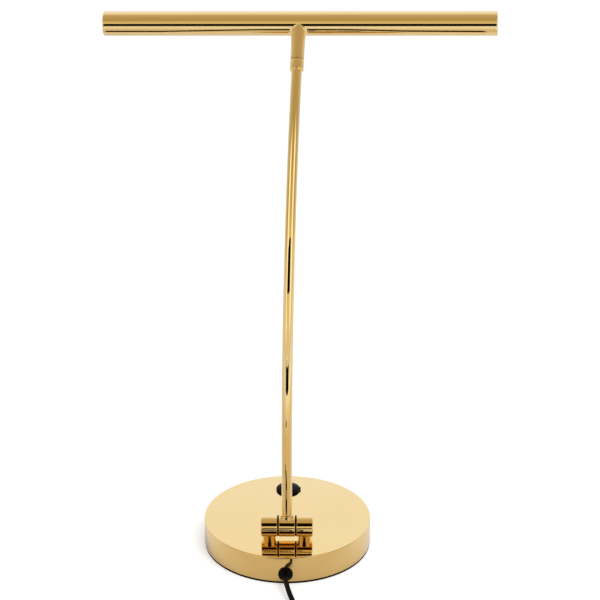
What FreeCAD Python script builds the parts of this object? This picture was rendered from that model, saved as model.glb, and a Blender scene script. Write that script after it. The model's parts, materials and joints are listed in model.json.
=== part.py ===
import FreeCAD, Part
import math
import os
import types

import Sketcher

# A brass piano lamp: a weighted round base, a knuckle hinge near its rear edge, a rod bent in one
# long arc, and a slim round shade that swivels on the rod's end.
# Origin: centre of the foot pad's underside. +Z is up, +Y is the side the rod leans to and the
# dimmer is on, -Y is the side the cord leaves. Millimetres and degrees.

os.makedirs("parts", exist_ok=True)
Vector = FreeCAD.Vector
Rotation = FreeCAD.Rotation
Placement = FreeCAD.Placement
doc = FreeCAD.newDocument("PianoLamp")
sheet = doc.addObject("Spreadsheet::Sheet", "Sizes")

SIZES = {
    # base
    "base_radius": 100.0,
    "base_rise": 32.2,          # height of the shell above the pad
    "shell_wall": 1.5,
    "shell_round": 1.4,         # rounding of the shell's upper rim
    "pad_thick": 2.8,
    "pad_inset": 0.4,           # how far the pad stands inside the wall
    "plate_thick": 2.5,
    "seat_gap": 0.3,            # between pieces that slip into each other
    "thread_gap": 0.05,         # between a thread's two sides
    "ballast_room": 4.5,        # from the ballast to the shell's wall
    "ballast_thick": 18.5,
    "pillar_inset": 22.0,       # the pillars' axes inside the base's edge
    "pillar_radius": 5.0,
    "shoulder_radius": 7.5,
    "screw_radius": 2.0,
    "screw_head": 3.8,
    "screw_reach": 12.0,
    "screw_socket": 1.0,
    # driver and leads
    "driver_long": 60.0,
    "driver_wide": 36.0,
    "driver_thick": 14.0,
    "driver_room": 3.0,
    "lead_radius": 1.5,
    # dimmer
    "dimmer_inset": 35.5,       # the dimmer's axis inside the base's front edge
    "dimmer_radius": 12.0,
    "dimmer_deep": 13.0,
    "tag_long": 5.0,
    "tag_wide": 2.4,
    "tag_thick": 0.8,
    "tag_pitch": 5.0,
    "tag_seat": 1.0,            # how far a tag reaches into the module
    "bushing_radius": 3.5,
    "bushing_rise": 2.4,        # its thread above the shell
    "dimmer_nut_flats": 11.0,
    "dimmer_nut_thick": 2.0,
    "shaft_radius": 3.0,
    "knob_radius": 14.6,
    "knob_lift": 0.5,           # running gap under the knob
    "knob_skirt": 1.9,
    "knob_dome": 3.2,           # how much the top bulges above the skirt
    "knob_round": 1.3,
    "knob_cavity": 7.2,
    "knob_roof": 1.0,
    "pointer_long": 1.0,
    "pointer_wide": 2.2,
    "pointer_high": 2.6,
    # cord inlet
    "inlet_shift": -1.2,        # the inlet's axis beside the middle plane
    "inlet_rise": 13.5,
    "inlet_flange": 8.7,
    "inlet_neck": 6.2,
    "inlet_proud": 5.0,
    "inlet_face": 4.4,
    "inlet_edge": 2.25,         # the flange's straight edge
    "inlet_round": 2.0,
    "inlet_inside": 8.0,
    # hinge
    "hinge_inset": 44.3,        # the hinge axis inside the base's rear edge
    "hinge_rise": 18.25,        # the hinge axis above the base's top
    "barrel_radius": 13.0,
    "barrel_long": 19.1,
    "barrel_bevel": 0.7,
    "washer_room": 1.9,
    "washer_radius": 12.2,
    "washer_thick": 1.8,
    "pivot_radius": 6.0,
    "pivot_bore": 4.2,
    "post_radius": 8.0,
    "stud_radius": 5.0,
    "stud_bore": 3.0,
    "stud_reach": 7.0,          # the post's thread below the shell's top
    "spigot_clear": 1.6,        # from the post's upper end to the pivot
    "nut_flats": 15.0,
    "nut_thick": 5.0,
    "ring_nut_radius": 8.6,
    "ring_nut_thick": 3.0,
    "cap_radius": 9.2,
    "cap_thick": 1.6,
    "cap_proud": 0.3,
    "passage_radius": 4.0,      # the knuckle's bore for the leads
    # arm
    "rod_radius": 6.2,
    "rod_wall": 1.0,
    "rod_foot": 7.5,            # the rod's lower end above the hinge axis
    "straight_rise": 75.8,      # straight stretch, from the hinge axis up
    "bend_radius": 617.0,
    "lean": 44.5,               # the rod's end leans this far from upright
    "arm_turn": 3.36,           # the rod's bend is turned this far round its foot
    "ferrule_radius": 7.8,
    "ferrule_taper": 0.9,
    "ferrule_top": 15.9,        # the ferrule's upper end above the hinge axis
    # swivel
    "collar_radius": 8.15,
    "collar_long": 12.9,
    "collar_grip": 7.4,         # how far the rod enters the collar
    "collar_bevel": 0.5,
    "grub_up": 1.5,             # the grub screw above the collar's lower end
    "grub_radius": 0.9,
    "grub_sunk": 0.5,
    "groove": 0.7,
    "swivel_washer_radius": 6.4,
    "stem_radius": 4.0,
    "stem_bore": 2.6,
    "stem_head": 5.2,
    "stem_head_thick": 2.0,
    "head_turn": -2.8,          # the shade is swivelled this far at rest
    # neck and shade
    "neck_radius": 8.1,
    "neck_straight": 10.1,
    "neck_top_radius": 8.5,
    "neck_floor": 3.2,
    "neck_bore": 5.5,
    "saddle_round": 3.5,
    "reach": 62.3,              # from the collar's lower end to the shade's axis
    "shade_shift": 4.0,         # the shade's axis in front of the neck's
    "shade_radius": 14.55,
    "shade_wall": 1.0,
    "shade_long": 465.0,
    "slot_wide": 14.0,
    "slot_margin": 12.0,        # the tube is whole this far at each end
    "cap_flange": 4.0,
    "cap_spigot": 7.0,
    "cap_wall": 2.0,
    "cap_round": 0.9,
    "nipple_bore": 4.0,
    "nipple_rise": 3.2,         # the nipple's upper end above the saddle washer
    "nipple_reach": 8.0,        # and its lower end below the tube
    "saddle_wide": 13.0,
    "saddle_thick": 5.35,
    "shade_nut_flats": 13.0,
    "shade_nut_thick": 2.5,
    "sink_face": 11.7,          # the heat sink's flat behind the shade's axis
    "board_wide": 11.0,
    "board_thick": 1.6,
    "chip_wide": 3.0,
    "chip_thick": 0.8,
    "chip_pitch": 18.0,
    "chip_count": 24,
    "lens_thick": 1.2,
    "lens_lap": 2.4,            # how far the lens reaches behind the slot's edge
    # cord
    "cord_radius": 3.0,
    "coil_inner": 22.4,
    "coil_outer": 50.2,
    "coil_high": 12.0,
    "coil_x": -33.8,
    "coil_y": -226.0,
    "tie_turn": 115.0,          # where the tie is round the coil
    "tie_wide": 9.0,
    "tie_thick": 1.0,
    "plug_away": 43.2,          # the plug's cord end beside the coil's middle
    "plug_back": 48.2,          # and behind it
    "plug_long": 34.0,
    "plug_wide": 26.0,
    "plug_thick": 15.0,
    "plug_corner": 5.0,
    "plug_edge": 2.0,
    "relief_long": 18.0,
    "relief_lap": 2.0,          # how far the relief reaches into the plug
    "relief_root": 5.6,
    "relief_tip": 4.0,
    "blade_long": 17.0,
    "blade_wide": 6.3,
    "blade_thick": 1.5,
    "blade_pitch": 12.7,
}


class Size:
    # A number together with the sheet expression that gives it.
    def __init__(self, value, text):
        self.value = value
        self.text = text

    def __add__(self, other):
        other = asSize(other)
        return Size(self.value + other.value, f"({self.text} + {other.text})")

    def __sub__(self, other):
        other = asSize(other)
        return Size(self.value - other.value, f"({self.text} - {other.text})")

    def __mul__(self, other):
        other = asSize(other)
        return Size(self.value * other.value, f"({self.text} * {other.text})")

    def __truediv__(self, other):
        other = asSize(other)
        return Size(self.value / other.value, f"({self.text} / {other.text})")

    def __radd__(self, other):
        return asSize(other) + self

    def __rsub__(self, other):
        return asSize(other) - self

    def __rmul__(self, other):
        return asSize(other) * self

    def __neg__(self):
        return asSize(0) - self


def asSize(value):
    if isinstance(value, Size):
        return value
    return Size(float(value), repr(float(value)))


def sine(angle):
    return Size(math.sin(math.radians(angle.value)), f"sin({angle.text} * 1 deg)")


def cosine(angle):
    return Size(math.cos(math.radians(angle.value)), f"cos({angle.text} * 1 deg)")


def root(size):
    return Size(math.sqrt(size.value), f"sqrt({size.text})")


def fillSheet():
    for row, (alias, value) in enumerate(SIZES.items(), start=1):
        sheet.set(f"A{row}", alias)
        sheet.set(f"B{row}", str(value))
        sheet.setAlias(f"B{row}", alias)
    doc.recompute()
    return types.SimpleNamespace(**{name: Size(float(value), f"Sizes.{name}")
                                    for name, value in SIZES.items()})


s = fillSheet()
pieces = []

# Heights and places that several pieces share.
shellTop = s.pad_thick + s.base_rise
shellUnder = shellTop - s.shell_wall
plateTop = s.pad_thick + s.plate_thick
ballastTop = plateTop + s.ballast_thick
hingeZ = shellTop + s.hinge_rise
hingeY = s.hinge_inset - s.base_radius
dimmerY = s.base_radius - s.dimmer_inset
pillarRing = s.base_radius - s.pillar_inset
barrelCentre = s.barrel_long + s.washer_room
hingeHalf = s.barrel_long * 1.5 + s.washer_room
armForward = s.bend_radius * (1 - cosine(s.lean))
armUp = s.straight_rise + s.bend_radius * sine(s.lean)
shadeInner = s.shade_radius - s.shade_wall
tubeHalf = s.shade_long / 2 - s.cap_flange
slotHalf = tubeHalf - s.slot_margin


# --- helpers -------------------------------------------------------------------------------

def bind(thing, prop, size):
    size = asSize(size)
    setattr(thing, prop, size.value)
    thing.setExpression(prop, size.text)


def loose(radius):
    # the bore in which a pin or thread of this radius goes
    return radius + s.thread_gap


def place(thing, base, rotation=None):
    base = [asSize(value) for value in base]
    spot = Vector(*[value.value for value in base])
    thing.Placement = Placement(spot, rotation or Rotation())
    for axis, value in zip("xyz", base):
        if "Sizes" in value.text:
            thing.setExpression(f"Placement.Base.{axis}", value.text)
    return thing


def turnTo(direction):
    return Rotation(Vector(0, 0, 1), Vector(*direction))


def cylinder(name, radius, length, base=(0, 0, 0), direction=(0, 0, 1)):
    rod = doc.addObject("Part::Cylinder", name)
    bind(rod, "Radius", radius)
    bind(rod, "Height", length)
    return place(rod, base, turnTo(direction))


def block(name, long, wide, high, base=(0, 0, 0)):
    # a box centred on base in X and Y, standing on it in Z
    box = doc.addObject("Part::Box", name)
    bind(box, "Length", long)
    bind(box, "Width", wide)
    bind(box, "Height", high)
    x, y, z = [asSize(value) for value in base]
    return place(box, (x - asSize(long) / 2, y - asSize(wide) / 2, z))


def hexagon(name, flats, thick, base, turn=0):
    prism = doc.addObject("Part::Prism", name)
    prism.Polygon = 6
    bind(prism, "Circumradius", flats / math.sqrt(3))
    bind(prism, "Height", thick)
    return place(prism, base, Rotation(Vector(0, 0, 1), turn))


def fused(name, *members):
    joined = doc.addObject("Part::MultiFuse", name)
    joined.Shapes = list(members)
    return joined


def grouped(name, *members):
    group = doc.addObject("Part::Compound", name)
    group.Links = list(members)
    return group


def cut(name, base, *tools):
    result = doc.addObject("Part::Cut", name)
    result.Base = base
    result.Tool = tools[0] if len(tools) == 1 else fused(name + "Tools", *tools)
    return result


def common(name, *members):
    result = doc.addObject("Part::MultiCommon", name)
    result.Shapes = list(members)
    return result


def ring(name, outer, inner, length, base=(0, 0, 0), direction=(0, 0, 1)):
    skin = cylinder(name + "Skin", outer, length, base, direction)
    hole = cylinder(name + "Hole", inner, length, base, direction)
    return cut(name, skin, hole)


def originPlane(body, role):
    return next(item for item in body.Origin.OriginFeatures if item.Role == role)


def attach(body, name, role="XZ_Plane"):
    sketch = body.newObject("Sketcher::SketchObject", name)
    sketch.AttachmentSupport = [(originPlane(body, role), "")]
    sketch.MapMode = "FlatFace"
    return sketch


def pinPoint(sketch, edge, end, spot):
    # ties one end of an edge to coordinates; None leaves that coordinate free
    for kind, axis, value in (("DistanceX", -2, spot[0]), ("DistanceY", -1, spot[1])):
        if value is None:
            continue
        value = asSize(value)
        if "Sizes" not in value.text and value.value == 0:
            sketch.addConstraint(Sketcher.Constraint("PointOnObject", edge, end, axis))
            continue
        index = sketch.addConstraint(Sketcher.Constraint(kind, -1, 1, edge, end, value.value))
        sketch.setExpression(f"Constraints[{index}]", value.text)


def drawOutline(sketch, points):
    # a closed outline of straight edges through the points
    spots = [Vector(asSize(x).value, asSize(z).value, 0) for x, z in points]
    count = len(points)
    for index in range(count):
        sketch.addGeometry(Part.LineSegment(spots[index], spots[(index + 1) % count]), False)
    for index in range(count):
        sketch.addConstraint(Sketcher.Constraint("Coincident", index, 2, (index + 1) % count, 1))
        pinPoint(sketch, index, 1, points[index])


def turned(name, points):
    # a body of revolution round Z: points are (radius, height)
    body = doc.addObject("PartDesign::Body", name)
    sketch = attach(body, name + "Outline")
    drawOutline(sketch, points)
    spin = body.newObject("PartDesign::Revolution", name + "Turned")
    spin.Profile = sketch
    spin.ReferenceAxis = (sketch, ["V_Axis"])
    spin.Angle = 360
    doc.recompute()
    return body


def flatDisc(name, radius, low, high):
    return turned(name, [(0, low), (radius, low), (radius, high), (0, high)])


def ringEdges(shape, radius, height):
    names = []
    for number, edge in enumerate(shape.Edges, start=1):
        if edge.Degenerated or not isinstance(edge.Curve, Part.Circle):
            continue
        curve = edge.Curve
        if abs(curve.Radius - radius) < 0.001 and abs(curve.Center.z - height) < 0.001:
            names.append(f"Edge{number}")
    return names


def dressRings(body, kind, prop, size, rings):
    # a fillet or a chamfer on the circles of the given radius and height
    base = body.Tip
    names = []
    for radius, height in rings:
        names += ringEdges(base.Shape, asSize(radius).value, asSize(height).value)
    dress = body.newObject("PartDesign::" + kind, body.Name + kind)
    dress.Base = (base, names)
    bind(dress, prop, size)
    doc.recompute()
    return body


def rounded(body, size, *rings):
    return dressRings(body, "Fillet", "Radius", size, rings)


def bevelled(body, size, *rings):
    return dressRings(body, "Chamfer", "Size", size, rings)


def keep(label, thing):
    thing.Label = label
    pieces.append(thing)
    return thing


# --- base ----------------------------------------------------------------------------------

def makeBase():
    padRadius = s.base_radius - s.pad_inset
    inside = s.base_radius - s.shell_wall
    plateRadius = inside - s.seat_gap
    keep("foot_pad", flatDisc("FootPad", padRadius, 0, s.pad_thick))

    shell = turned("Shell", [(inside, s.pad_thick), (s.base_radius, s.pad_thick), (s.base_radius, shellTop),
                             (0, shellTop), (0, shellUnder), (inside, shellUnder)])
    rounded(shell, s.shell_round, (s.base_radius, shellTop))
    holes = [cylinder("PostHole", loose(s.stud_radius), s.shell_wall * 3,
                      (side * barrelCentre, hingeY, shellUnder - s.shell_wall)) for side in (-1, 1)]
    holes.append(cylinder("DimmerHole", loose(s.bushing_radius), s.shell_wall * 3,
                          (0, dimmerY, shellUnder - s.shell_wall)))
    holes.append(cylinder("InletHole", loose(s.inlet_neck), s.shell_wall * 4,
                          (s.inlet_shift, s.shell_wall * 2 - s.base_radius, s.inlet_rise), (0, -1, 0)))
    keep("base_shell", cut("BaseShell", shell, *holes))

    plate = flatDisc("Plate", plateRadius, s.pad_thick, plateTop)
    keep("bottom_plate", cut("BottomPlate", plate, *pillarCopies("PlateHole", lambda name, x, y: fused(
        name,
        cylinder(name + "Bore", s.screw_radius + s.seat_gap, s.plate_thick, (x, y, s.pad_thick)),
        cylinder(name + "Sink", s.screw_head + s.seat_gap, s.plate_thick / 2, (x, y, s.pad_thick))))))

    disc = flatDisc("Disc", inside - s.ballast_room, plateTop, ballastTop)
    room = s.driver_room * 2
    pockets = pillarCopies("BallastHole", lambda name, x, y: cylinder(
        name, s.pillar_radius + s.seat_gap, s.ballast_thick, (x, y, plateTop)))
    pockets.append(block("DriverPocket", s.driver_long + room, s.driver_wide + room, s.ballast_thick,
                         (0, 0, plateTop)))
    pockets.append(cylinder("DimmerPocket", s.dimmer_radius + s.driver_room, s.ballast_thick,
                            (0, dimmerY, plateTop)))
    pockets.append(block("LeadChannel", s.dimmer_radius, s.base_radius * 2, s.ballast_thick / 2,
                         (0, 0, ballastTop - s.ballast_thick / 2)))
    pockets.append(block("InletChannel", s.inlet_flange * 2 + room, s.base_radius, s.ballast_thick,
                         (0, -s.base_radius / 2 - s.driver_wide / 2, plateTop)))
    pockets.append(block("PostChannel", barrelCentre + s.nut_flats, s.nut_flats + room,
                         s.ballast_thick / 2,
                         (-barrelCentre / 2, hingeY, ballastTop - s.ballast_thick / 2)))
    keep("ballast", cut("Ballast", disc, *pockets))

    keep("base_pillars", grouped("Pillars", *pillarCopies("Pillar", makePillar)))
    keep("base_screws", grouped("Screws", *pillarCopies("Screw", makeScrew)))


def pillarCopies(name, make):
    # one of each at the three places round the base where its plates are screwed together
    copies = []
    for number in range(3):
        turn = Size(120.0 * number, repr(120.0 * number))
        copies.append(make(f"{name}{number}", pillarRing * cosine(turn), pillarRing * sine(turn)))
    return copies


def makePillar(name, x, y):
    body = fused(name + "Body",
                 cylinder(name + "Leg", s.pillar_radius, shellUnder - plateTop, (x, y, plateTop)),
                 cylinder(name + "Shoulder", s.shoulder_radius, shellUnder - ballastTop, (x, y, ballastTop)))
    thread = cylinder(name + "Thread", loose(s.screw_radius), s.screw_reach, (x, y, plateTop))
    return cut(name, body, thread)


def makeScrew(name, x, y):
    head = s.plate_thick / 2
    body = fused(name + "Body",
                 cylinder(name + "Head", s.screw_head, head, (x, y, s.pad_thick)),
                 cylinder(name + "Shank", s.screw_radius, s.screw_reach, (x, y, s.pad_thick)))
    return cut(name, body, hexagon(name + "Socket", s.screw_radius, s.screw_socket, (x, y, s.pad_thick)))


def makeDriver():
    case = block("DriverBlock", s.driver_long, s.driver_wide, s.driver_thick, (0, 0, plateTop))
    doc.recompute()
    edges = [number for number, edge in enumerate(case.Shape.Edges, start=1)
             if abs(edge.Vertexes[0].Z - edge.Vertexes[1].Z) > 1]
    softened = doc.addObject("Part::Fillet", "DriverCase")
    softened.Base = case
    softened.Edges = [(number, s.driver_room.value, s.driver_room.value) for number in edges]
    keep("led_driver", softened)


def makeInlet():
    # built along Z, outwards, with the wall's outer face at zero, then laid along -Y
    wall = s.shell_wall + s.seat_gap
    body = turned("Inlet", [(0, -s.inlet_inside), (s.inlet_neck - s.seat_gap, -s.inlet_inside),
                            (s.inlet_neck + s.seat_gap * 2, -wall), (s.inlet_neck, -wall), (s.inlet_neck, 0),
                            (s.inlet_flange, 0), (s.inlet_flange, s.inlet_edge),
                            (s.inlet_face, s.inlet_proud), (0, s.inlet_proud)])
    rounded(body, s.inlet_round, (s.inlet_flange, s.inlet_edge))
    place(body, (s.inlet_shift, -s.base_radius, s.inlet_rise), turnTo((0, -1, 0)))
    keep("cord_inlet", body)


# --- dimmer --------------------------------------------------------------------------------

def makeDimmer():
    front = dimmerY
    can = cylinder("DimmerCan", s.dimmer_radius, s.dimmer_deep, (0, front, shellUnder - s.dimmer_deep))
    bushingLong = s.shell_wall + s.bushing_rise
    bushing = cylinder("DimmerBushing", s.bushing_radius, bushingLong, (0, front, shellUnder))
    tags = [block(f"DimmerTag{number}", s.tag_wide, s.tag_thick, s.tag_long,
                  (s.tag_pitch * number, front, shellUnder - s.dimmer_deep - s.tag_long + s.tag_seat))
            for number in (-1, 0, 1)]
    shaftFoot = shellUnder - s.dimmer_deep / 2
    shaftTop = shellTop + s.knob_lift + s.knob_skirt + s.knob_dome - s.knob_roof
    bore = cylinder("DimmerBore", loose(s.shaft_radius), s.dimmer_deep * 2,
                    (0, front, shaftFoot - s.seat_gap))
    keep("dimmer_module", cut("DimmerModule", fused("DimmerBody", can, bushing, *tags), bore))
    nut = hexagon("DimmerHex", s.dimmer_nut_flats, s.dimmer_nut_thick, (0, front, shellTop))
    thread = cylinder("DimmerNutBore", loose(s.bushing_radius), s.dimmer_nut_thick, (0, front, shellTop))
    keep("dimmer_nut", cut("DimmerNut", nut, thread))
    shaft = cylinder("DimmerShaft", s.shaft_radius, shaftTop - shaftFoot, (0, front, shaftFoot))
    keep("dimmer_shaft", shaft)
    makeKnob(shaftTop)


def makeKnob(shaftTop):
    low = shellTop + s.knob_lift
    edge = low + s.knob_skirt
    top = edge + s.knob_dome
    roof = shellTop + s.bushing_rise + s.knob_lift
    # the top is the cap of a large ball
    ball = (s.knob_radius * s.knob_radius + s.knob_dome * s.knob_dome) / (s.knob_dome * 2)
    rim = cylinder("KnobRim", s.knob_radius, s.knob_skirt + s.knob_dome, (0, dimmerY, low))
    dome = doc.addObject("Part::Sphere", "KnobBall")
    bind(dome, "Radius", ball)
    place(dome, (0, dimmerY, top - ball))
    blank = common("KnobDome", rim, dome)
    doc.recompute()
    soft = doc.addObject("Part::Fillet", "KnobSoft")
    soft.Base = blank
    soft.Edges = [(int(name[4:]), s.knob_round.value, s.knob_round.value)
                  for name in ringEdges(blank.Shape, s.knob_radius.value, edge.value)]
    pointer = block("KnobPointer", s.pointer_long * 2, s.pointer_wide, s.pointer_high,
                    (s.knob_radius, dimmerY, low))
    cavity = cylinder("KnobCavity", s.knob_cavity, roof - low, (0, dimmerY, low))
    socket = cylinder("KnobSocket", loose(s.shaft_radius), shaftTop - low + s.thread_gap,
                      (0, dimmerY, low))
    solid = fused("KnobSolid", soft, pointer)
    keep("dimmer_knob", cut("DimmerKnob", solid, cavity, socket))


# --- hinge ---------------------------------------------------------------------------------

def alongX(name, radius, length, centre):
    # a cylinder along X, centred on a place
    x, y, z = [asSize(value) for value in centre]
    return cylinder(name, radius, length, (x - asSize(length) / 2, y, z), (1, 0, 0))


def barrelBlank(name, x):
    # a barrel along X with both its rims bevelled
    body = turned(name, [(0, -s.barrel_long / 2), (s.barrel_radius, -s.barrel_long / 2),
                         (s.barrel_radius, s.barrel_long / 2), (0, s.barrel_long / 2)])
    bevelled(body, s.barrel_bevel, (s.barrel_radius, -s.barrel_long / 2),
             (s.barrel_radius, s.barrel_long / 2))
    return place(body, (x, hingeY, hingeZ), turnTo((1, 0, 0)))


def makeHinge():
    recess = s.cap_thick + s.ring_nut_thick
    for side, word in ((-1, "Left"), (1, "Right")):
        x = side * barrelCentre
        recessCentre = side * (hingeHalf - recess / 2)
        blank = barrelBlank(f"Barrel{word}Blank", x)
        bore = alongX(f"Barrel{word}Bore", loose(s.pivot_radius), s.barrel_long, (x, hingeY, hingeZ))
        well = alongX(f"Barrel{word}Well", loose(s.cap_radius), recess,
                      (recessCentre, hingeY, hingeZ))
        tapped = cylinder(f"Barrel{word}Tapped", loose(s.stud_radius), s.barrel_radius,
                          (x, hingeY, hingeZ - s.barrel_radius))
        keep(f"hinge_barrel_{word.lower()}", cut(f"Barrel{word}", blank, bore, well, tapped))
        keep(f"hinge_post_{word.lower()}", makePost(f"Post{word}", x))
        # the friction washer lies on the barrel's inner face
        inner = side * (hingeHalf - s.barrel_long - s.washer_thick / 2)
        washer = alongX(f"Washer{word}Disc", s.washer_radius, s.washer_thick, (inner, hingeY, hingeZ))
        eye = alongX(f"Washer{word}Eye", loose(s.pivot_radius), s.washer_thick,
                     (inner, hingeY, hingeZ))
        cut(f"Washer{word}", washer, eye)
        nutCentre = side * (hingeHalf - s.cap_thick - s.ring_nut_thick / 2)
        nut = alongX(f"RingNut{word}Disc", s.ring_nut_radius, s.ring_nut_thick, (nutCentre, hingeY, hingeZ))
        eye = alongX(f"RingNut{word}Eye", loose(s.pivot_radius), s.ring_nut_thick,
                     (nutCentre, hingeY, hingeZ))
        cut(f"RingNut{word}", nut, eye)
        cap = turned(f"Cap{word}", [(0, 0), (s.cap_radius, 0), (s.cap_radius, s.cap_thick + s.cap_proud),
                                    (0, s.cap_thick + s.cap_proud)])
        bevelled(cap, s.cap_proud, (s.cap_radius, s.cap_thick + s.cap_proud))
        place(cap, (side * (hingeHalf - s.cap_thick), hingeY, hingeZ), turnTo((side, 0, 0)))
    pairs = {"Washer": "hinge_washers", "RingNut": "hinge_ring_nuts", "Cap": "hinge_end_caps"}
    for name, node in pairs.items():
        keep(node, grouped(name + "s", doc.getObject(name + "Left"), doc.getObject(name + "Right")))
    nuts = [postNut(f"PostNut{number}", side * barrelCentre) for number, side in enumerate((-1, 1))]
    keep("post_nuts", grouped("PostNuts", *nuts))
    makePivot()
    makeKnuckle()


def makePost(name, x):
    # a round post hollowed under the barrel, with a thread at each end and a bore for the leads
    pillar = cylinder(name + "Pillar", s.post_radius, s.hinge_rise, (x, hingeY, shellTop))
    seat = alongX(name + "Seat", s.barrel_radius, s.barrel_long * 2, (x, hingeY, hingeZ))
    stud = cylinder(name + "Stud", s.stud_radius,
                    s.stud_reach + s.shell_wall + s.hinge_rise - s.pivot_radius - s.spigot_clear,
                    (x, hingeY, shellUnder - s.stud_reach))
    bore = cylinder(name + "Bore", s.stud_bore, s.base_rise + s.hinge_rise,
                    (x, hingeY, shellUnder - s.stud_reach))
    return cut(name, fused(name + "Solid", cut(name + "Shank", pillar, seat), stud), bore)


def postNut(name, x):
    base = (x, hingeY, shellUnder - s.nut_thick)
    return cut(name, hexagon(name + "Hex", s.nut_flats, s.nut_thick, base),
               cylinder(name + "Bore", loose(s.stud_radius), s.nut_thick, base))


def makePivot():
    long = (hingeHalf - s.cap_thick - s.seat_gap) * 2
    centre = (0, hingeY, hingeZ)
    pin = alongX("PivotPin", s.pivot_radius, long, centre)
    bore = alongX("PivotBore", s.pivot_bore, long, centre)
    # windows that let the leads up from the left post and out into the rod at every tilt
    upper = block("PivotUpper", s.pivot_bore * 2, s.barrel_radius * 2, s.barrel_radius, centre)
    lower = block("PivotLower", s.stud_bore * 2, s.stud_bore * 2, s.barrel_radius,
                  (-barrelCentre, hingeY, hingeZ - s.barrel_radius))
    keep("hinge_pivot", cut("HingePivot", pin, bore, upper, lower))


def makeKnuckle():
    blank = barrelBlank("KnuckleBlank", 0)
    bore = alongX("KnuckleBore", loose(s.pivot_radius), s.barrel_long, (0, hingeY, hingeZ))
    socket = cylinder("KnuckleSocket", loose(s.rod_radius), s.barrel_radius,
                      (0, hingeY, hingeZ + s.rod_foot))
    passage = cylinder("KnucklePassage", s.passage_radius, s.barrel_radius, (0, hingeY, hingeZ))
    keep("hinge_knuckle", cut("HingeKnuckle", blank, bore, socket, passage))
    inside = loose(s.rod_radius)
    rim = turned("FerruleRim", [
        (inside, s.rod_foot), (s.ferrule_radius, s.rod_foot),
        (s.ferrule_radius, s.ferrule_top - s.ferrule_taper),
        (s.ferrule_radius - s.ferrule_taper, s.ferrule_top), (inside, s.ferrule_top)])
    place(rim, (0, hingeY, hingeZ))
    hollow = alongX("FerruleSeat", s.barrel_radius, s.barrel_long * 2, (0, hingeY, hingeZ))
    keep("rod_ferrule", cut("RodFerrule", rim, hollow))


# --- arm -----------------------------------------------------------------------------------

def drawBend(sketch, low, offset, end):
    # upright line, arc and straight end in the plane of the bend; offset is towards its inside
    bend = s.bend_radius - offset
    spots = [(offset, low), (offset, s.straight_rise),
             (offset + bend * (1 - cosine(s.lean)), s.straight_rise + bend * sine(s.lean))]
    last = (spots[2][0] + sine(s.lean) * end, spots[2][1] + cosine(s.lean) * end)
    flat = [Vector(asSize(x).value, asSize(z).value, 0) for x, z in spots + [last]]
    centre = Vector(s.bend_radius.value, s.straight_rise.value, 0)
    sketch.addGeometry(Part.LineSegment(flat[0], flat[1]), False)
    circle = Part.Circle(centre, Vector(0, 0, 1), asSize(bend).value)
    sketch.addGeometry(Part.ArcOfCircle(circle, math.radians(180 - s.lean.value), math.pi), False)
    sketch.addGeometry(Part.LineSegment(flat[2], flat[3]), False)
    sketch.addConstraint(Sketcher.Constraint("Coincident", 0, 2, 1, 2))
    sketch.addConstraint(Sketcher.Constraint("Coincident", 1, 1, 2, 1))
    pinPoint(sketch, 0, 1, spots[0])
    pinPoint(sketch, 0, 2, spots[1])
    pinPoint(sketch, 1, 3, (s.bend_radius, s.straight_rise))
    pinPoint(sketch, 1, 1, (None, spots[2][1]))
    pinPoint(sketch, 2, 2, last)


def makeRod():
    body = doc.addObject("PartDesign::Body", "Rod")
    path = attach(body, "RodPath", "YZ_Plane")
    drawBend(path, s.rod_foot, Size(0.0, "0"), s.collar_grip)
    section = attach(body, "RodSection", "XY_Plane")
    for number, radius in enumerate((s.rod_radius, s.rod_radius - s.rod_wall)):
        section.addGeometry(Part.Circle(Vector(), Vector(0, 0, 1), radius.value), False)
        section.addConstraint(Sketcher.Constraint("Coincident", number, 3, -1, 1))
        index = section.addConstraint(Sketcher.Constraint("Radius", number, radius.value))
        section.setExpression(f"Constraints[{index}]", radius.text)
    section.AttachmentOffset = Placement(Vector(0, 0, s.rod_foot.value), Rotation())
    section.setExpression("AttachmentOffset.Base.z", s.rod_foot.text)
    pipe = body.newObject("PartDesign::AdditivePipe", "RodPipe")
    pipe.Profile = section
    pipe.Spine = path
    place(body, (0, hingeY, hingeZ), Rotation(Vector(0, 0, 1), -s.arm_turn.value))
    keep("arm_rod", body)


def swivelPlace():
    # at the collar's lower end, Z along the rod's end, Y forwards and down
    spin = Rotation(Vector(0, 0, 1), -s.arm_turn.value) * Rotation(Vector(1, 0, 0), -s.lean.value)
    base = (armForward * sine(s.arm_turn), hingeY + armForward * cosine(s.arm_turn), hingeZ + armUp)
    return base, spin


def onSwivel(thing):
    base, spin = swivelPlace()
    return place(thing, base, spin)


def onHead(thing):
    base, spin = swivelPlace()
    return place(thing, base, spin * Rotation(Vector(0, 0, 1), s.head_turn.value))


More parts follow.
